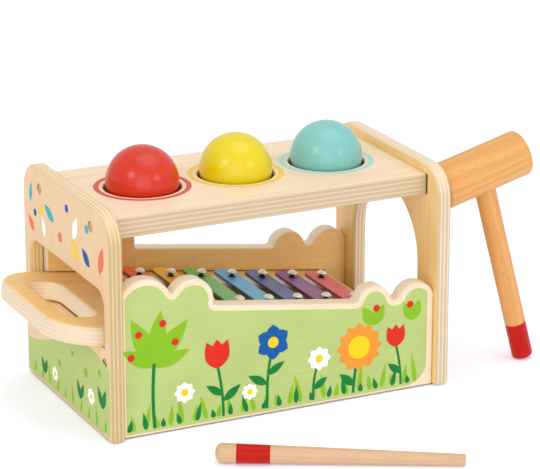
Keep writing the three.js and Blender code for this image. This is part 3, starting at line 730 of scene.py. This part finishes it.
# Balls and their rubber rings
balls = {
    "radius": 23,
    "rise": 3.2,
    "ringCord": 2,
    "segments": 72,
    "ringSegments": 64,
    "cordSegments": 16,
    "colours": {"red": "#CE2904", "yellow": "#DECA00", "teal": "#7CBEB8"},
}
for colour, x in ballX.items():
    enamel = paint("enamelSprayed." + colour, "sprayed", balls["colours"][colour])
    profile = [(balls["radius"] * math.cos(math.radians(a)) if abs(a) < 90 else 0,
                balls["radius"] * math.sin(math.radians(a))) for a in range(-90, 91, 4)]
    addPiece("ballEnamelled_" + colour, turnedMesh("ball", profile, balls["segments"]), [enamel],
             benchAt(x, 0, bench["boardTop"] + balls["rise"]), "ball_" + colour,
             ["ball_" + colour])
    turns = [2 * math.pi * i / balls["cordSegments"] for i in range(balls["cordSegments"])]
    cord = [(balls["radius"] + balls["ringCord"] * math.cos(t), balls["ringCord"] * math.sin(t))
            for t in turns]
    addPiece("ballRing_" + colour, turnedMesh("ring", cord, balls["ringSegments"], True), [rubber],
             benchAt(x, 0, topBoard["ringHeight"]), "bench", ["ring_" + colour])
print("balls made")


# Cheeks: straight sloping top edge with two rounds at each end, from right to left
cheeks = {
    "low": 0.5,
    "edgeRound": 1.2,
    "rise": 15.9,
    "rounds": ((94.9, 0.6, 12.7), (64.8, -0.3, 11.6), (-60.1, 2.5, 14.2), (-91.6, -2.1, 18.7)),
    "fillets": (4, 2.5, 2, 1.5),
    "grooveDepth": 4,
    "grooveHeight": 13.1,
    "grooveMiddle": -5.75,      # from the tray's upper face
    "grooveEndGap": 0.3,
}
tilt = bench["trayTilt"]
slopeAlong = Vector((math.cos(tilt), -math.sin(tilt)))
slopeUp = Vector((math.sin(tilt), math.cos(tilt)))
slopeStart = Vector((0, bench["trayHeight"] + cheeks["rise"]))
roundCentres = [Vector((x, trayHeightAt(x) + cheeks["rise"] + rise)) for x, rise, radius in cheeks["rounds"]]
roundRadii = [radius for x, rise, radius in cheeks["rounds"]]


def valleyCentre(a, b, fillet):
    across = roundCentres[b] - roundCentres[a]
    span = across.length
    reachA = roundRadii[a] + fillet
    reachB = roundRadii[b] + fillet
    along = (span ** 2 + reachA ** 2 - reachB ** 2) / (2 * span)
    across.normalize()
    upward = Vector((across.y, -across.x))
    return roundCentres[a] + across * along + upward * math.sqrt(reachA ** 2 - along ** 2)


def slopeCentre(a, fillet, side):
    line = slopeStart + slopeUp * fillet
    offset = roundCentres[a] - line
    run = math.sqrt((roundRadii[a] + fillet) ** 2 - offset.dot(slopeUp) ** 2)
    return line + slopeAlong * (offset.dot(slopeAlong) + side * run)


def heading(start, end):
    return math.atan2(end.y - start.y, end.x - start.x)


# The cheek's outline, or one drawn inside it for the print
def cheekOutline(inset, left, right, low, corners=None):
    d, c, b, a = roundCentres
    fillets = cheeks["fillets"]
    valleyDC = valleyCentre(0, 1, fillets[0])
    footC = slopeCentre(1, fillets[1], -1)
    footB = slopeCentre(2, fillets[2], 1)
    valleyBA = valleyCentre(2, 3, fillets[3])
    downSlope = -math.pi / 2 - tilt
    edgeD = math.acos(min(1, (right - d.x) / (roundRadii[0] - inset)))
    edgeA = math.acos(max(-1, (left - a.x) / (roundRadii[3] - inset)))
    runs = [
        (d, roundRadii[0] - inset, edgeD, heading(d, valleyDC)),
        (valleyDC, -fillets[0] - inset, heading(valleyDC, d), heading(valleyDC, c)),
        (c, roundRadii[1] - inset, heading(c, valleyDC), heading(c, footC)),
        (footC, -fillets[1] - inset, heading(footC, c), downSlope),
        (footB, -fillets[2] - inset, downSlope, heading(footB, b)),
        (b, roundRadii[2] - inset, heading(b, footB), heading(b, valleyBA)),
        (valleyBA, -fillets[3] - inset, heading(valleyBA, b), heading(valleyBA, a)),
        (a, roundRadii[3] - inset, heading(a, valleyBA), edgeA),
    ]
    points = [(left, low), (right, low)]
    if corners:
        atLeft, atRight = corners
        points = [*arc(left + atLeft, low + atLeft, atLeft, math.pi, 1.5 * math.pi),
                  *arc(right - atRight, low + atRight, atRight, -math.pi / 2, 0)]
    for centre, radius, start, end in runs:
        if radius > 0:
            end += 2 * math.pi * math.ceil((start - end) / (2 * math.pi))
        else:
            end -= 2 * math.pi * math.ceil((end - start) / (2 * math.pi))
        points += arc(centre.x, centre.y, abs(radius), start, end)
    return points


trayStop = (halfInside - bench["trayStopGap"]) / math.cos(tilt)
grooveEnd = trayStop + cheeks["grooveEndGap"]
grooveLength = grooveEnd + 2 * bench["halfLength"]
for where, side in benchSides.items():
    mesh = boardMesh(where + "Cheek", cheekOutline(0, -shoulder, shoulder, cheeks["low"]), [],
                     bench["cheekThickness"], cheeks["edgeRound"])
    inner = side * bench["cheekThickness"] / 2
    groove = Matrix.Translation((0, bench["trayHeight"], inner)) @ Matrix.Rotation(-tilt, 4, "Z")
    groove = groove @ Matrix.Translation((grooveEnd - grooveLength / 2, cheeks["grooveMiddle"], 0))
    groove = groove @ Matrix.Diagonal((grooveLength, cheeks["grooveHeight"], 2 * cheeks["grooveDepth"], 1))
    bores = [(Matrix.Translation((end * shoulder, h, 0)) @ turnToX, boreRadius, bench["boreLength"])
             for end in (-1, 1) for h in bench["dowelHeights"]]
    addPiece(where + "CheekPly", cutAway(mesh, bores, [groove]), [plyCheek[where]],
             benchAt(0, side * bench["cheekMiddle"], 0) @ alongBench, "bench",
             [where + "_cheek"])
print("cheeks made")


# Dowels, sawn off and pushed in just below the panels' faces
dowels = {"chamfer": 0.5, "length": 30, "segments": 36}
for node in sorted(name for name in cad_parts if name.startswith("dowel_")):
    low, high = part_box(node)
    radius = bench["dowelRadius"]
    half = dowels["length"] / 2
    chamfer = dowels["chamfer"]
    profile = [(0, -half), (radius - chamfer, -half), (radius, chamfer - half), (radius, half - chamfer),
               (radius - chamfer, half), (0, half)]
    mesh = turnedMesh("dowel", profile, dowels["segments"])
    addPiece(node.replace("dowel_", "dowelPeg_"), mesh, [dowelWood],
             Matrix.Translation((low + high) / 2) @ turnToX, "bench", [node])


# Tray with its handle and finger slot
tray = {
    "halfWidth": 58.9,
    "handleReach": (bench["halfLength"] + 28.4) / math.cos(tilt),
    "handleRadius": 28,
    "endRadius": 3,
    "edgeRound": 2.5,
    "gripWidth": 15.6,
    "slotWidth": 21,
    "slotHalf": 35,
    "slotRadius": 10,
    "pilotMiddle": 6,
    "pilotLength": 16.6,
}
xylophone = {
    "names": ("red", "orange", "yellow", "green", "sky_blue", "indigo", "purple", "pink"),
    "colours": ("#E6281A", "#FF6206", "#FFC808", "#66CC48", "#58BEFF", "#4E69B4", "#925CA2", "#F47A8E"),
    "semitones": (0, 2, 4, 5, 7, 9, 11, 12),
    "longest": 107.4,
    "width": 14.5,
    "thickness": 2.2,
    "cornerRadius": 6.5,
    "edgeRound": 0.8,
    "rowStartGap": 32.2,
    "rowEndGap": 19.8,
    "screwShare": 0.19,
    "holeRadius": 2.3,
    "pilotRadius": 1.8,
    "base": 3.0,
}
rowStart = xylophone["rowStartGap"] - halfInside / math.cos(tilt)
barCount = len(xylophone["names"])
barPitch = (trayStop - xylophone["rowEndGap"] - rowStart) / (barCount - 1)
barX = [rowStart + i * barPitch for i in range(barCount)]
# A bar's length falls with the square root of its pitch
barLengths = [xylophone["longest"] * 2 ** (-s / 24) for s in xylophone["semitones"]]
screwY = [length * (0.5 - xylophone["screwShare"]) for length in barLengths]
slotLow = tray["gripWidth"] - tray["handleReach"]
outline = roundedOutline(-tray["handleReach"], trayStop, -tray["halfWidth"], tray["halfWidth"],
                         (tray["endRadius"], tray["endRadius"], tray["handleRadius"], tray["handleRadius"]))
fingerSlot = roundedOutline(slotLow, slotLow + tray["slotWidth"], -tray["slotHalf"], tray["slotHalf"],
                            [tray["slotRadius"]] * 4)
mesh = boardMesh("tray", outline, [fingerSlot], bench["trayThickness"], tray["edgeRound"])
pilots = [(Matrix.Translation((x, side * y, tray["pilotMiddle"])), xylophone["pilotRadius"],
           tray["pilotLength"]) for x, y in zip(barX, screwY) for side in (-1, 1)]
addPiece("xylophoneTrayPly", cutAway(mesh, pilots), [plyTray],
         trayFrame @ Matrix.Translation((0, 0, -bench["trayThickness"] / 2 * mm)), "tray",
         ["xylophone_tray"])
print("tray made")

# Felt strips, pressed a little under each bar and swelling between them
felts = {
    "width": 16,
    "low": 0.1,
    "high": 2.9,
    "swell": 0.35,
    "pressedShare": 0.72,       # of the way from a bar's middle to the next gap's
    "overhang": 9.5,
    "fuzz": 0.16,
    "borderDrop": (0.7, 0.2, 0),
    "cell": 0.9,
    "boreLength": 12,
}
fuzz = random.Random(11)
feltFall = (screwY[-1] - screwY[0]) / (barX[-1] - barX[0])
for where, side in benchSides.items():
    bm = bmesh.new()
    start = barX[0] - felts["overhang"]
    length = barX[-1] + felts["overhang"] - start
    columns = round(length / felts["cell"])
    rows = round(felts["width"] / felts["cell"])
    layers = {"top": [], "bottom": []}
    for i in range(columns + 1):
        x = start + length * i / columns
        middle = side * (screwY[0] + feltFall * (x - barX[0]))
        free = min(abs(x - bar) for bar in barX) / (barPitch / 2)
        swell = felts["swell"] * max(0, free - felts["pressedShare"]) / (1 - felts["pressedShare"])
        for level, store in layers.items():
            line = []
            for j in range(rows + 1):
                border = min(i, columns - i, j, rows - j)
                ragged = felts["fuzz"] * fuzz.uniform(-1, 1)
                y = middle + felts["width"] * (j / rows - 0.5) + (ragged if border == 0 else 0)
                z = felts["low"]
                if level == "top":
                    z = felts["high"] + swell + min(0, ragged) / 2 - felts["borderDrop"][min(border, 2)]
                line.append(bm.verts.new((x, y, z)))
            store.append(line)
    for i in range(columns):
        for j in range(rows):
            for store, flip in ((layers["top"], 1), (layers["bottom"], -1)):
                corners = [store[i][j], store[i + 1][j], store[i + 1][j + 1], store[i][j + 1]]
                bm.faces.new(corners[::flip])
    rim = [(i, 0) for i in range(columns)] + [(columns, j) for j in range(rows)]
    rim += [(i, rows) for i in range(columns, 0, -1)] + [(0, j) for j in range(rows, 0, -1)]
    for (i, j), (k, m) in zip(rim, rim[1:] + rim[:1]):
        top, bottom = layers["top"], layers["bottom"]
        bm.faces.new((bottom[i][j], bottom[k][m], top[k][m], top[i][j]))
    bmesh.ops.recalc_face_normals(bm, faces=bm.faces)
    mesh = meshFrom(bm, "felt")
    bores = [(Matrix.Translation((x, side * y, 0)), xylophone["pilotRadius"], felts["boreLength"])
             for x, y in zip(barX, screwY)]
    strip = addPiece("feltStrip_" + where, cutAway(mesh, bores), [felt], trayFrame, "tray",
                     ["felt_" + where])

# Bars and their domed screws
screws = {
    "shank": 1.5,
    "head": 3.5,
    "dome": 2.4,
    "under": 7.7,
    "depth": 8,
    "rimRound": 0.35,
    "rimShare": 0.985,
    "domeSteps": 12,
    "segments": 32,
}
domeRadius = (screws["head"] ** 2 + screws["dome"] ** 2) / (2 * screws["dome"])
domeCentre = screws["under"] + screws["dome"] - domeRadius
screwProfile = [(0, -screws["depth"]), (screws["shank"], screws["shank"] - screws["depth"]),
                (screws["shank"], screws["under"]), (screws["head"] - screws["rimRound"], screws["under"])]
for k in range(screws["domeSteps"]):
    radius = screws["head"] * screws["rimShare"] * math.cos(math.pi / 2 * k / screws["domeSteps"])
    screwProfile.append((radius, domeCentre + math.sqrt(domeRadius ** 2 - radius ** 2)))
screwProfile.append((0, domeCentre + domeRadius))
for colour, shade, x, length, y in zip(xylophone["names"], xylophone["colours"], barX, barLengths, screwY):
    bakedPaint = paint("steelPaintBaked." + colour, "baked", shade)
    half = xylophone["width"] / 2
    outline = roundedOutline(-half, half, -length / 2, length / 2, [xylophone["cornerRadius"]] * 4)
    holes = [circle(0, side * y, xylophone["holeRadius"], 12) for side in (-1, 1)]
    mesh = boardMesh("bar", outline, holes, xylophone["thickness"], xylophone["edgeRound"])
    middle = (xylophone["base"] + xylophone["thickness"] / 2) * mm
    addPiece("barPainted_" + colour, mesh, [bakedPaint], trayFrame @ Matrix.Translation((x * mm, 0, middle)),
             "tray", ["bar_" + colour])
    for where, side in benchSides.items():
        ending = colour + "_" + where
        mesh = turnedMesh("screw", screwProfile, screws["segments"])
        addPiece("screwDomed_" + ending, mesh, [steel],
                 trayFrame @ Matrix.Translation((x * mm, side * y * mm, 0)), "tray",
                 ["screw_" + ending])
print("xylophone made")


# Mallet, leaning on the right panel
mallet = {
    "headRadius": 15,
    "headHalf": 31,
    "headRound": 2.5,
    "handleRadius": 6.85,
    "handleRound": 1.5,
    "reach": 136,
    "handleTop": 8.7,
    "boreMiddle": 6,
    "boreGap": 0.3,
    "boreLength": 30,
    "lean": math.radians(15),
    "leanGap": 0.3,
    "fromMiddle": -48,
    "paintLength": 25,
    "headSegments": 72,
    "handleSegments": 48,
}
along = math.cos(mallet["lean"])
across = math.sin(mallet["lean"])
headStandOff = ((mallet["headHalf"] - mallet["headRound"]) * along
                + (mallet["headRadius"] - mallet["headRound"]) * across + mallet["headRound"])
standHeight = ((mallet["reach"] - mallet["handleRound"]) * along
               + (mallet["handleRadius"] - mallet["handleRound"]) * across + mallet["handleRound"])
malletX = bench["halfLength"] + mallet["leanGap"] + headStandOff
malletFrame = benchAt(malletX, mallet["fromMiddle"], standHeight)
malletFrame = malletFrame @ Matrix.Rotation(-mallet["lean"], 4, "Y")
inset = mallet["headRadius"] - mallet["headRound"]
stop = mallet["headHalf"] - mallet["headRound"]
profile = [(0, -mallet["headHalf"]), *quarterRound(inset, -stop, mallet["headRound"], -1, 0),
           *quarterRound(inset, stop, mallet["headRound"], 0, 1), (0, mallet["headHalf"])]
bore = (Matrix.Translation((mallet["boreMiddle"], 0, 0)) @ turnToX,
        mallet["handleRadius"] + mallet["boreGap"], mallet["boreLength"])
mesh = turnedMesh("malletHead", profile, mallet["headSegments"])
addPiece("malletHeadBeech", cutAway(mesh, [bore]), [beechTurned], malletFrame @ turnToX, "mallet",
         ["mallet_head"])
inset = mallet["handleRadius"] - mallet["handleRound"]
paintTop = mallet["paintLength"] - mallet["reach"]
profile = [(0, -mallet["reach"]),
           *quarterRound(inset, mallet["handleRound"] - mallet["reach"], mallet["handleRound"], -1, 0),
           (mallet["handleRadius"], paintTop), (mallet["handleRadius"], mallet["handleTop"]),
           (0, mallet["handleTop"])]
mesh = turnedMesh("malletHandle", profile, mallet["handleSegments"])
for face in mesh.polygons:
    face.material_index = 1 if face.center.z < paintTop else 0
addPiece("malletHandleBeech", mesh, [beechTurned, redDip], malletFrame, "mallet", ["mallet_handle"])

# Beater, lying in front
beater = {
    "length": 149,
    "thick": 6.1,
    "thin": 3.6,
    "dome": 4,
    "domeStart": -0.93,         # share of a quarter turn, where the flat end begins
    "domeSteps": 12,
    "tipRound": 1,
    "segments": 48,
    "tip": (-71.3, -121.7),
    "heading": math.radians(-27.8),
    "band": (12.7, 33),
}
rodEnd = beater["length"] - beater["dome"]
taper = math.atan2(beater["thick"] - beater["thin"], rodEnd)
beaterFrame = benchAt(*beater["tip"], beater["thick"]) @ Matrix.Rotation(beater["heading"], 4, "Z")
beaterFrame = beaterFrame @ Matrix.Translation((beater["dome"] * mm, 0, 0)) @ Matrix.Rotation(taper, 4, "Y")
profile = [(0, -beater["dome"])]
profile += [(radius, height * beater["dome"] / beater["thick"])
            for radius, height in quarterRound(0, 0, beater["thick"], beater["domeStart"], 0,
                                               beater["domeSteps"])]
bandStart, bandEnd = [place - beater["dome"] for place in beater["band"]]
for place in (bandStart, bandEnd):
    profile.append((beater["thick"] - (beater["thick"] - beater["thin"]) * place / rodEnd, place))
profile += [*quarterRound(beater["thin"] - beater["tipRound"], rodEnd - beater["tipRound"],
                          beater["tipRound"], 0, 1), (0, rodEnd)]
mesh = turnedMesh("beater", profile, beater["segments"])
for face in mesh.polygons:
    face.material_index = 1 if bandStart < face.center.z < bandEnd else 0
addPiece("beaterBeech", mesh, [beechPale, redDip], beaterFrame @ turnToX, "beater", ["beater"])
print("mallet and beater made")


# Prints: thin layers of ink, each motif a closed outline, later layers a little thicker
prints = {
    "step": 0.05,
    "sunk": 0.03,
    "leafSteps": 18,
    "stemSteps": 20,
    "petalBelly": 0.62,
    "bladeWidth": 3.4,
    "bladeBelly": 0.3,
}


# Motifs of one ink that overlap run together into one film
def inkMesh(outlines, layer, face):
    points = []
    loops = []
    for loop in outlines:
        kept = cleanLoop(loop, False)
        loops.append(list(range(len(points), len(points) + len(kept))))
        points += [Vector(point) for point in kept]
    film = delaunay_2d_cdt(points, [], loops, 1, 1e-4)
    spots = film[0]
    triangles = film[2]
    bm = bmesh.new()
    outside = face + math.copysign(prints["step"] * layer, face)
    inside = face - math.copysign(prints["sunk"], face)
    low = [bm.verts.new((x, y, inside)) for x, y in spots]
    high = [bm.verts.new((x, y, outside)) for x, y in spots]
    sides = {(a, b) for corners in triangles for a, b in zip(corners, corners[1:] + corners[:1])}
    for corners in triangles:
        bm.faces.new([high[i] for i in corners])
        bm.faces.new([low[i] for i in reversed(corners)])
    for a, b in sorted(sides):
        if (b, a) not in sides:
            bm.faces.new((low[a], low[b], high[b], high[a]))
    bmesh.ops.delete(bm, geom=[v for v in bm.verts if not v.link_faces], context="VERTS")
    bmesh.ops.recalc_face_normals(bm, faces=bm.faces)
    return meshFrom(bm, "ink")


def leaf(x, y, length, width, angle, belly=0.45):
    turn = math.radians(angle)
    rightSide = []
    leftSide = []
    for i in range(prints["leafSteps"] + 1):
        u = i / prints["leafSteps"]
        half = width / 2 * math.sin(math.pi * u ** (math.log(0.5) / math.log(belly)))
        px = x + length * u * math.cos(turn)
        py = y + length * u * math.sin(turn)
        rightSide.append((px + half * math.sin(turn), py - half * math.cos(turn)))
        leftSide.append((px - half * math.sin(turn), py + half * math.cos(turn)))
    return rightSide + leftSide[-2:0:-1]


def petals(x, y, reach, width, count):
    return [leaf(x, y, reach, width, 90 + 360 * i / count, prints["petalBelly"]) for i in range(count)]


def stem(points, width):
    last = prints["stemSteps"]
    smooth = []
    (x0, y0), (x1, y1), (x2, y2) = points
    for i in range(last + 1):
        u = i / last
        smooth.append(Vector(((1 - u) ** 2 * x0 + 2 * u * (1 - u) * x1 + u * u * x2,
                              (1 - u) ** 2 * y0 + 2 * u * (1 - u) * y1 + u * u * y2)))
    left = []
    right = []
    for i, here in enumerate(smooth):
        run = smooth[min(i + 1, last)] - smooth[max(i - 1, 0)]
        side = Vector((-run.y, run.x)).normalized() * width / 2
        left.append(tuple(here + side))
        right.append(tuple(here - side))
    return right + left[::-1]


def tulip(x, y, size):
    return [leaf(x, y, size, size * 0.62, 90), leaf(x, y, size * 1.02, size * 0.5, 112),
            leaf(x, y, size * 1.02, size * 0.5, 68)]


def grass(places, low, heights, lean):
    blades = []
    for i, x in enumerate(places):
        blades.append(leaf(x, low, heights[i % len(heights)], prints["bladeWidth"],
                           90 + lean[i % len(lean)], prints["bladeBelly"]))
    return blades


# Meadow on the front cheek
cheekFace = bench["cheekThickness"] / 2
meadow = {"inset": 3.6, "left": -104.6, "right": 102.4, "low": 2.2, "corners": (2, 15)}
frontLayers = [
    ("field", "lightGreen", 1, [cheekOutline(**meadow)]),
    ("bush", "lime", 2, [
        *[leaf(-86, 46, 34, 12, angle) for angle in (48, 82, 116)],
        *[leaf(-86, 44, 25, 9, angle) for angle in (18, 148)],
        *grass([-100 + 8.1 * i for i in range(25)], 4, (11, 17, 9, 14, 20), (8, -10, 14, -6)),
        *[leaf(64, 47, 15, 8, angle) for angle in (60, 120)],
        *[leaf(92, 46, 14, 7, angle) for angle in (70, 118)]]),
    ("stems", "darkGreen", 3, [
        stem(((-40, 4), (-40, 22), (-44, 38)), 1.8),
        stem(((-10, 4), (-11, 26), (-6, 45)), 1.8),
        stem(((22, 4), (21, 18), (26, 30)), 1.6),
        stem(((50, 4), (51, 20), (54, 33)), 2.0),
        stem(((84, 4), (84, 18), (80, 32)), 1.6),
        stem(((-86, 4), (-88, 24), (-86, 46)), 2.2),
        *[leaf(*sizes) for sizes in (
            (-40, 14, 15, 5.5, 38), (-40, 18, 14, 5, 146), (-10, 20, 15, 5.5, 150), (-10, 26, 14, 5, 32),
            (22, 11, 12, 5, 36), (51, 9, 14, 5.5, 140), (84, 12, 12, 5, 142))],
        *grass([-103 + 11.3 * i for i in range(18)], 4, (8, 12, 6), (-12, 9, 0, 16))]),
    ("tulips", "red", 4, [*tulip(-44, 36, 19), *tulip(80, 30, 15)]),
    ("bluePetals", "blue", 4, petals(-6, 47, 11.5, 8.5, 6)),
    ("whitePetals", "white", 4, [
        *petals(26, 31, 8, 5, 8), *petals(-66, 24, 7, 4.4, 8), *petals(-22, 17, 5.5, 3.6, 8)]),
    ("sunPetals", "orange", 4, petals(54, 34, 16, 8.5, 12)),
    ("sunMiddle", "yellow", 5, [circle(*sizes) for sizes in (
        (54, 34, 7.6), (-6, 47, 3.6), (26, 31, 2.7), (-66, 24, 2.4), (-22, 17, 1.9))]),
    ("berries", "red", 5, [circle(x, y, 2.3) for x, y in (
        (-96, 66), (-80, 71), (-72, 58), (-101, 52), (66, 58), (90, 57))]),
]

# Hill and falling leaves on the left panel's outer face
panelFace = -bench["panelThickness"] / 2
hillTop = [(y, 24 + 14 * (1 + math.cos((y + 36) / 36))) for y in range(68, -69, -4)]
sideLayers = [
    ("hill", "lightGreen", 1, [[(-68, 4.6), (-65.8, 2.4), (65.8, 2.4), (68, 4.6), *hillTop]]),
    ("tufts", "lime", 2, [
        *grass([-60 + 13 * i for i in range(10)], 4, (9, 14, 7), (10, -8, 4)),
        *[circle(y, z, r) for y, z, r in ((-52, 40, 2.4), (-30, 33, 3.2), (-8, 38, 2.1), (14, 24, 2.7))]]),
    ("leaves", "darkGreen", 2, [
        leaf(*sizes) for sizes in (
            (-56, 18, 15, 6, 62), (-56, 18, 15, 6, 112), (-20, 12, 13, 5, 70), (-20, 12, 13, 5, 118),
            (40, 8, 12, 5, 66), (40, 8, 12, 5, 112))]),
    ("flowers", "white", 3, [*petals(-38, 20, 5.6, 3.6, 7), *petals(22, 14, 5, 3.2, 7)]),
    ("hearts", "yellow", 4, [
        circle(-38, 20, 1.9), circle(22, 14, 1.7), leaf(-20, 101, 15, 7, 60), circle(40, 118, 3)]),
    ("coral", "coral", 2, [leaf(-55, 104, 20, 8, 108), circle(8, 109, 3.2), leaf(52, 100, 13, 6, 40)]),
    ("teal", "teal", 2, [leaf(18, 116, 17, 7, 24), circle(-36, 127, 2.8), leaf(58, 118, 14, 5, 100)]),
    ("blue", "blue", 2, [leaf(-40, 104, 15, 7, 35), circle(50, 113, 2.4), circle(-4, 131, 2.6)]),
    ("paleLeaves", "white", 2, [leaf(-14, 114, 17, 7.5, 112), leaf(34, 101, 14, 5.5, 76)]),
]
cheekPlace = benchAt(0, -bench["cheekMiddle"], 0) @ alongBench
panelPlace = benchAt(-panelFace - bench["halfLength"], 0, 0) @ acrossBench
for start, layers, face, place in (("frontPrint_", frontLayers, cheekFace, cheekPlace),
                                   ("sidePrint_", sideLayers, panelFace, panelPlace)):
    for label, ink, layer, outlines in layers:
        addPiece(start + label, inkMesh(outlines, layer, face), [inks[ink]], place, "bench")
print("prints made")


# Floor, light and camera
studio = {
    "floor": "#ECEEF8",
    "floorGlow": 0.25,
    "paintedShadowHalf": (116, 66),      # half length and depth of the painted shadow under the bench, where the floor does not glow
    "floorSize": 14,
    "floorDrop": 0.3,
    "floorPatch": 250,
    "sky": 0.84,
    "aimHeight": 80,
    "lamps": {
        "overhead": {"at": (250, -200, 1600), "size": 1.4, "power": 5.6},
        "leftBox": {"at": (-1400, -690, 1100), "size": 0.55, "power": 3.4},
        "rightBox": {"at": (702, -1544, 765), "size": 0.5, "power": 2.1},
        "frontFill": {"at": (-640, -1500, 420), "size": 1.4, "power": 5.5},
    },
}
# Acrylic sweep, frosted, glowing a little so that it stays near-white, with the glow off under the bench as a
# painted shadow: a near-white field with no gloss
floorMaterial, floorTree, floorShader = startMaterial("acrylicSweepMatt")
floorCoords = addNode(floorTree, "TexCoord", {}, {})
floorNoise = addNode(floorTree, "TexNoise", {}, {
    "Vector": floorCoords.outputs["Object"], "Scale": 1 / (studio["floorPatch"] * mm), "Detail": 1.0})
floorTone = addNode(floorTree, "Mix", inColour, {
    0: floorNoise.outputs["Fac"], 6: linear(studio["floor"]), 7: linear("#F0F2FA")})
# Painted shadow: the floor's glow is switched off in a box under the bench
floorGlow = boxShare(floorTree, floorCoords.outputs["Object"], benchMid.xy / mm, studio["paintedShadowHalf"],
                     0.0, studio["floorGlow"])
setInputs(floorTree, floorShader, {
    "Roughness": 0.9, "Specular IOR Level": 0.2, "Emission Color": linear("#EEF1FF"),
    "Base Color": floorTone.outputs[2], "Emission Strength": floorGlow})
bm = bmesh.new()
bmesh.ops.create_grid(bm, x_segments=4, y_segments=4, size=studio["floorSize"])
floorMesh = meshFrom(bm, "floor")
floorMesh.materials.append(floorMaterial)
floor = bpy.data.objects.new("floor", floorMesh)
floor.location = (0, 0, -studio["floorDrop"] * mm)
scene.collection.objects.link(floor)

world = bpy.data.worlds.new("studioSky")
world.use_nodes = True
setInputs(world.node_tree, world.node_tree.nodes["Background"], {
    "Color": linear("#FFFFFF"), "Strength": studio["sky"]})
scene.world = world
for name, lamp in studio["lamps"].items():
    light = bpy.data.lights.new(name, "AREA")
    light.shape = "DISK"
    light.size = lamp["size"]
    light.energy = lamp["power"]
    lampObject = bpy.data.objects.new(name, light)
    lampObject.location = benchMid + Vector(lamp["at"]) * mm
    aim = benchMid + Vector((0, 0, studio["aimHeight"])) * mm - lampObject.location
    lampObject.rotation_euler = aim.to_track_quat("-Z", "Y").to_euler()
    scene.collection.objects.link(lampObject)

cameraView = {
    "focal": 2756.34,           # pixels of the 540 wide picture
    "pictureWidth": 540,
    "sensor": 36,
    "farClip": 100,
    "yaw": 25.829,
    "pitch": 18.185,
    "eye": (-702.66, -1501.14, 640.95),
}
camera = bpy.data.cameras.new("photoCamera")
camera.sensor_fit = "HORIZONTAL"
camera.sensor_width = cameraView["sensor"]
camera.lens = cameraView["focal"] * cameraView["sensor"] / cameraView["pictureWidth"]
camera.clip_end = cameraView["farClip"]
cameraObject = bpy.data.objects.new("photoCamera", camera)
cameraObject.location = benchMid + Vector(cameraView["eye"]) * mm
turn = (math.radians(90 - cameraView["pitch"]), 0, math.radians(-cameraView["yaw"]))
cameraObject.rotation_euler = turn
scene.collection.objects.link(cameraObject)
scene.camera = cameraObject
scene.view_settings.view_transform = "Standard"
print("studio made")
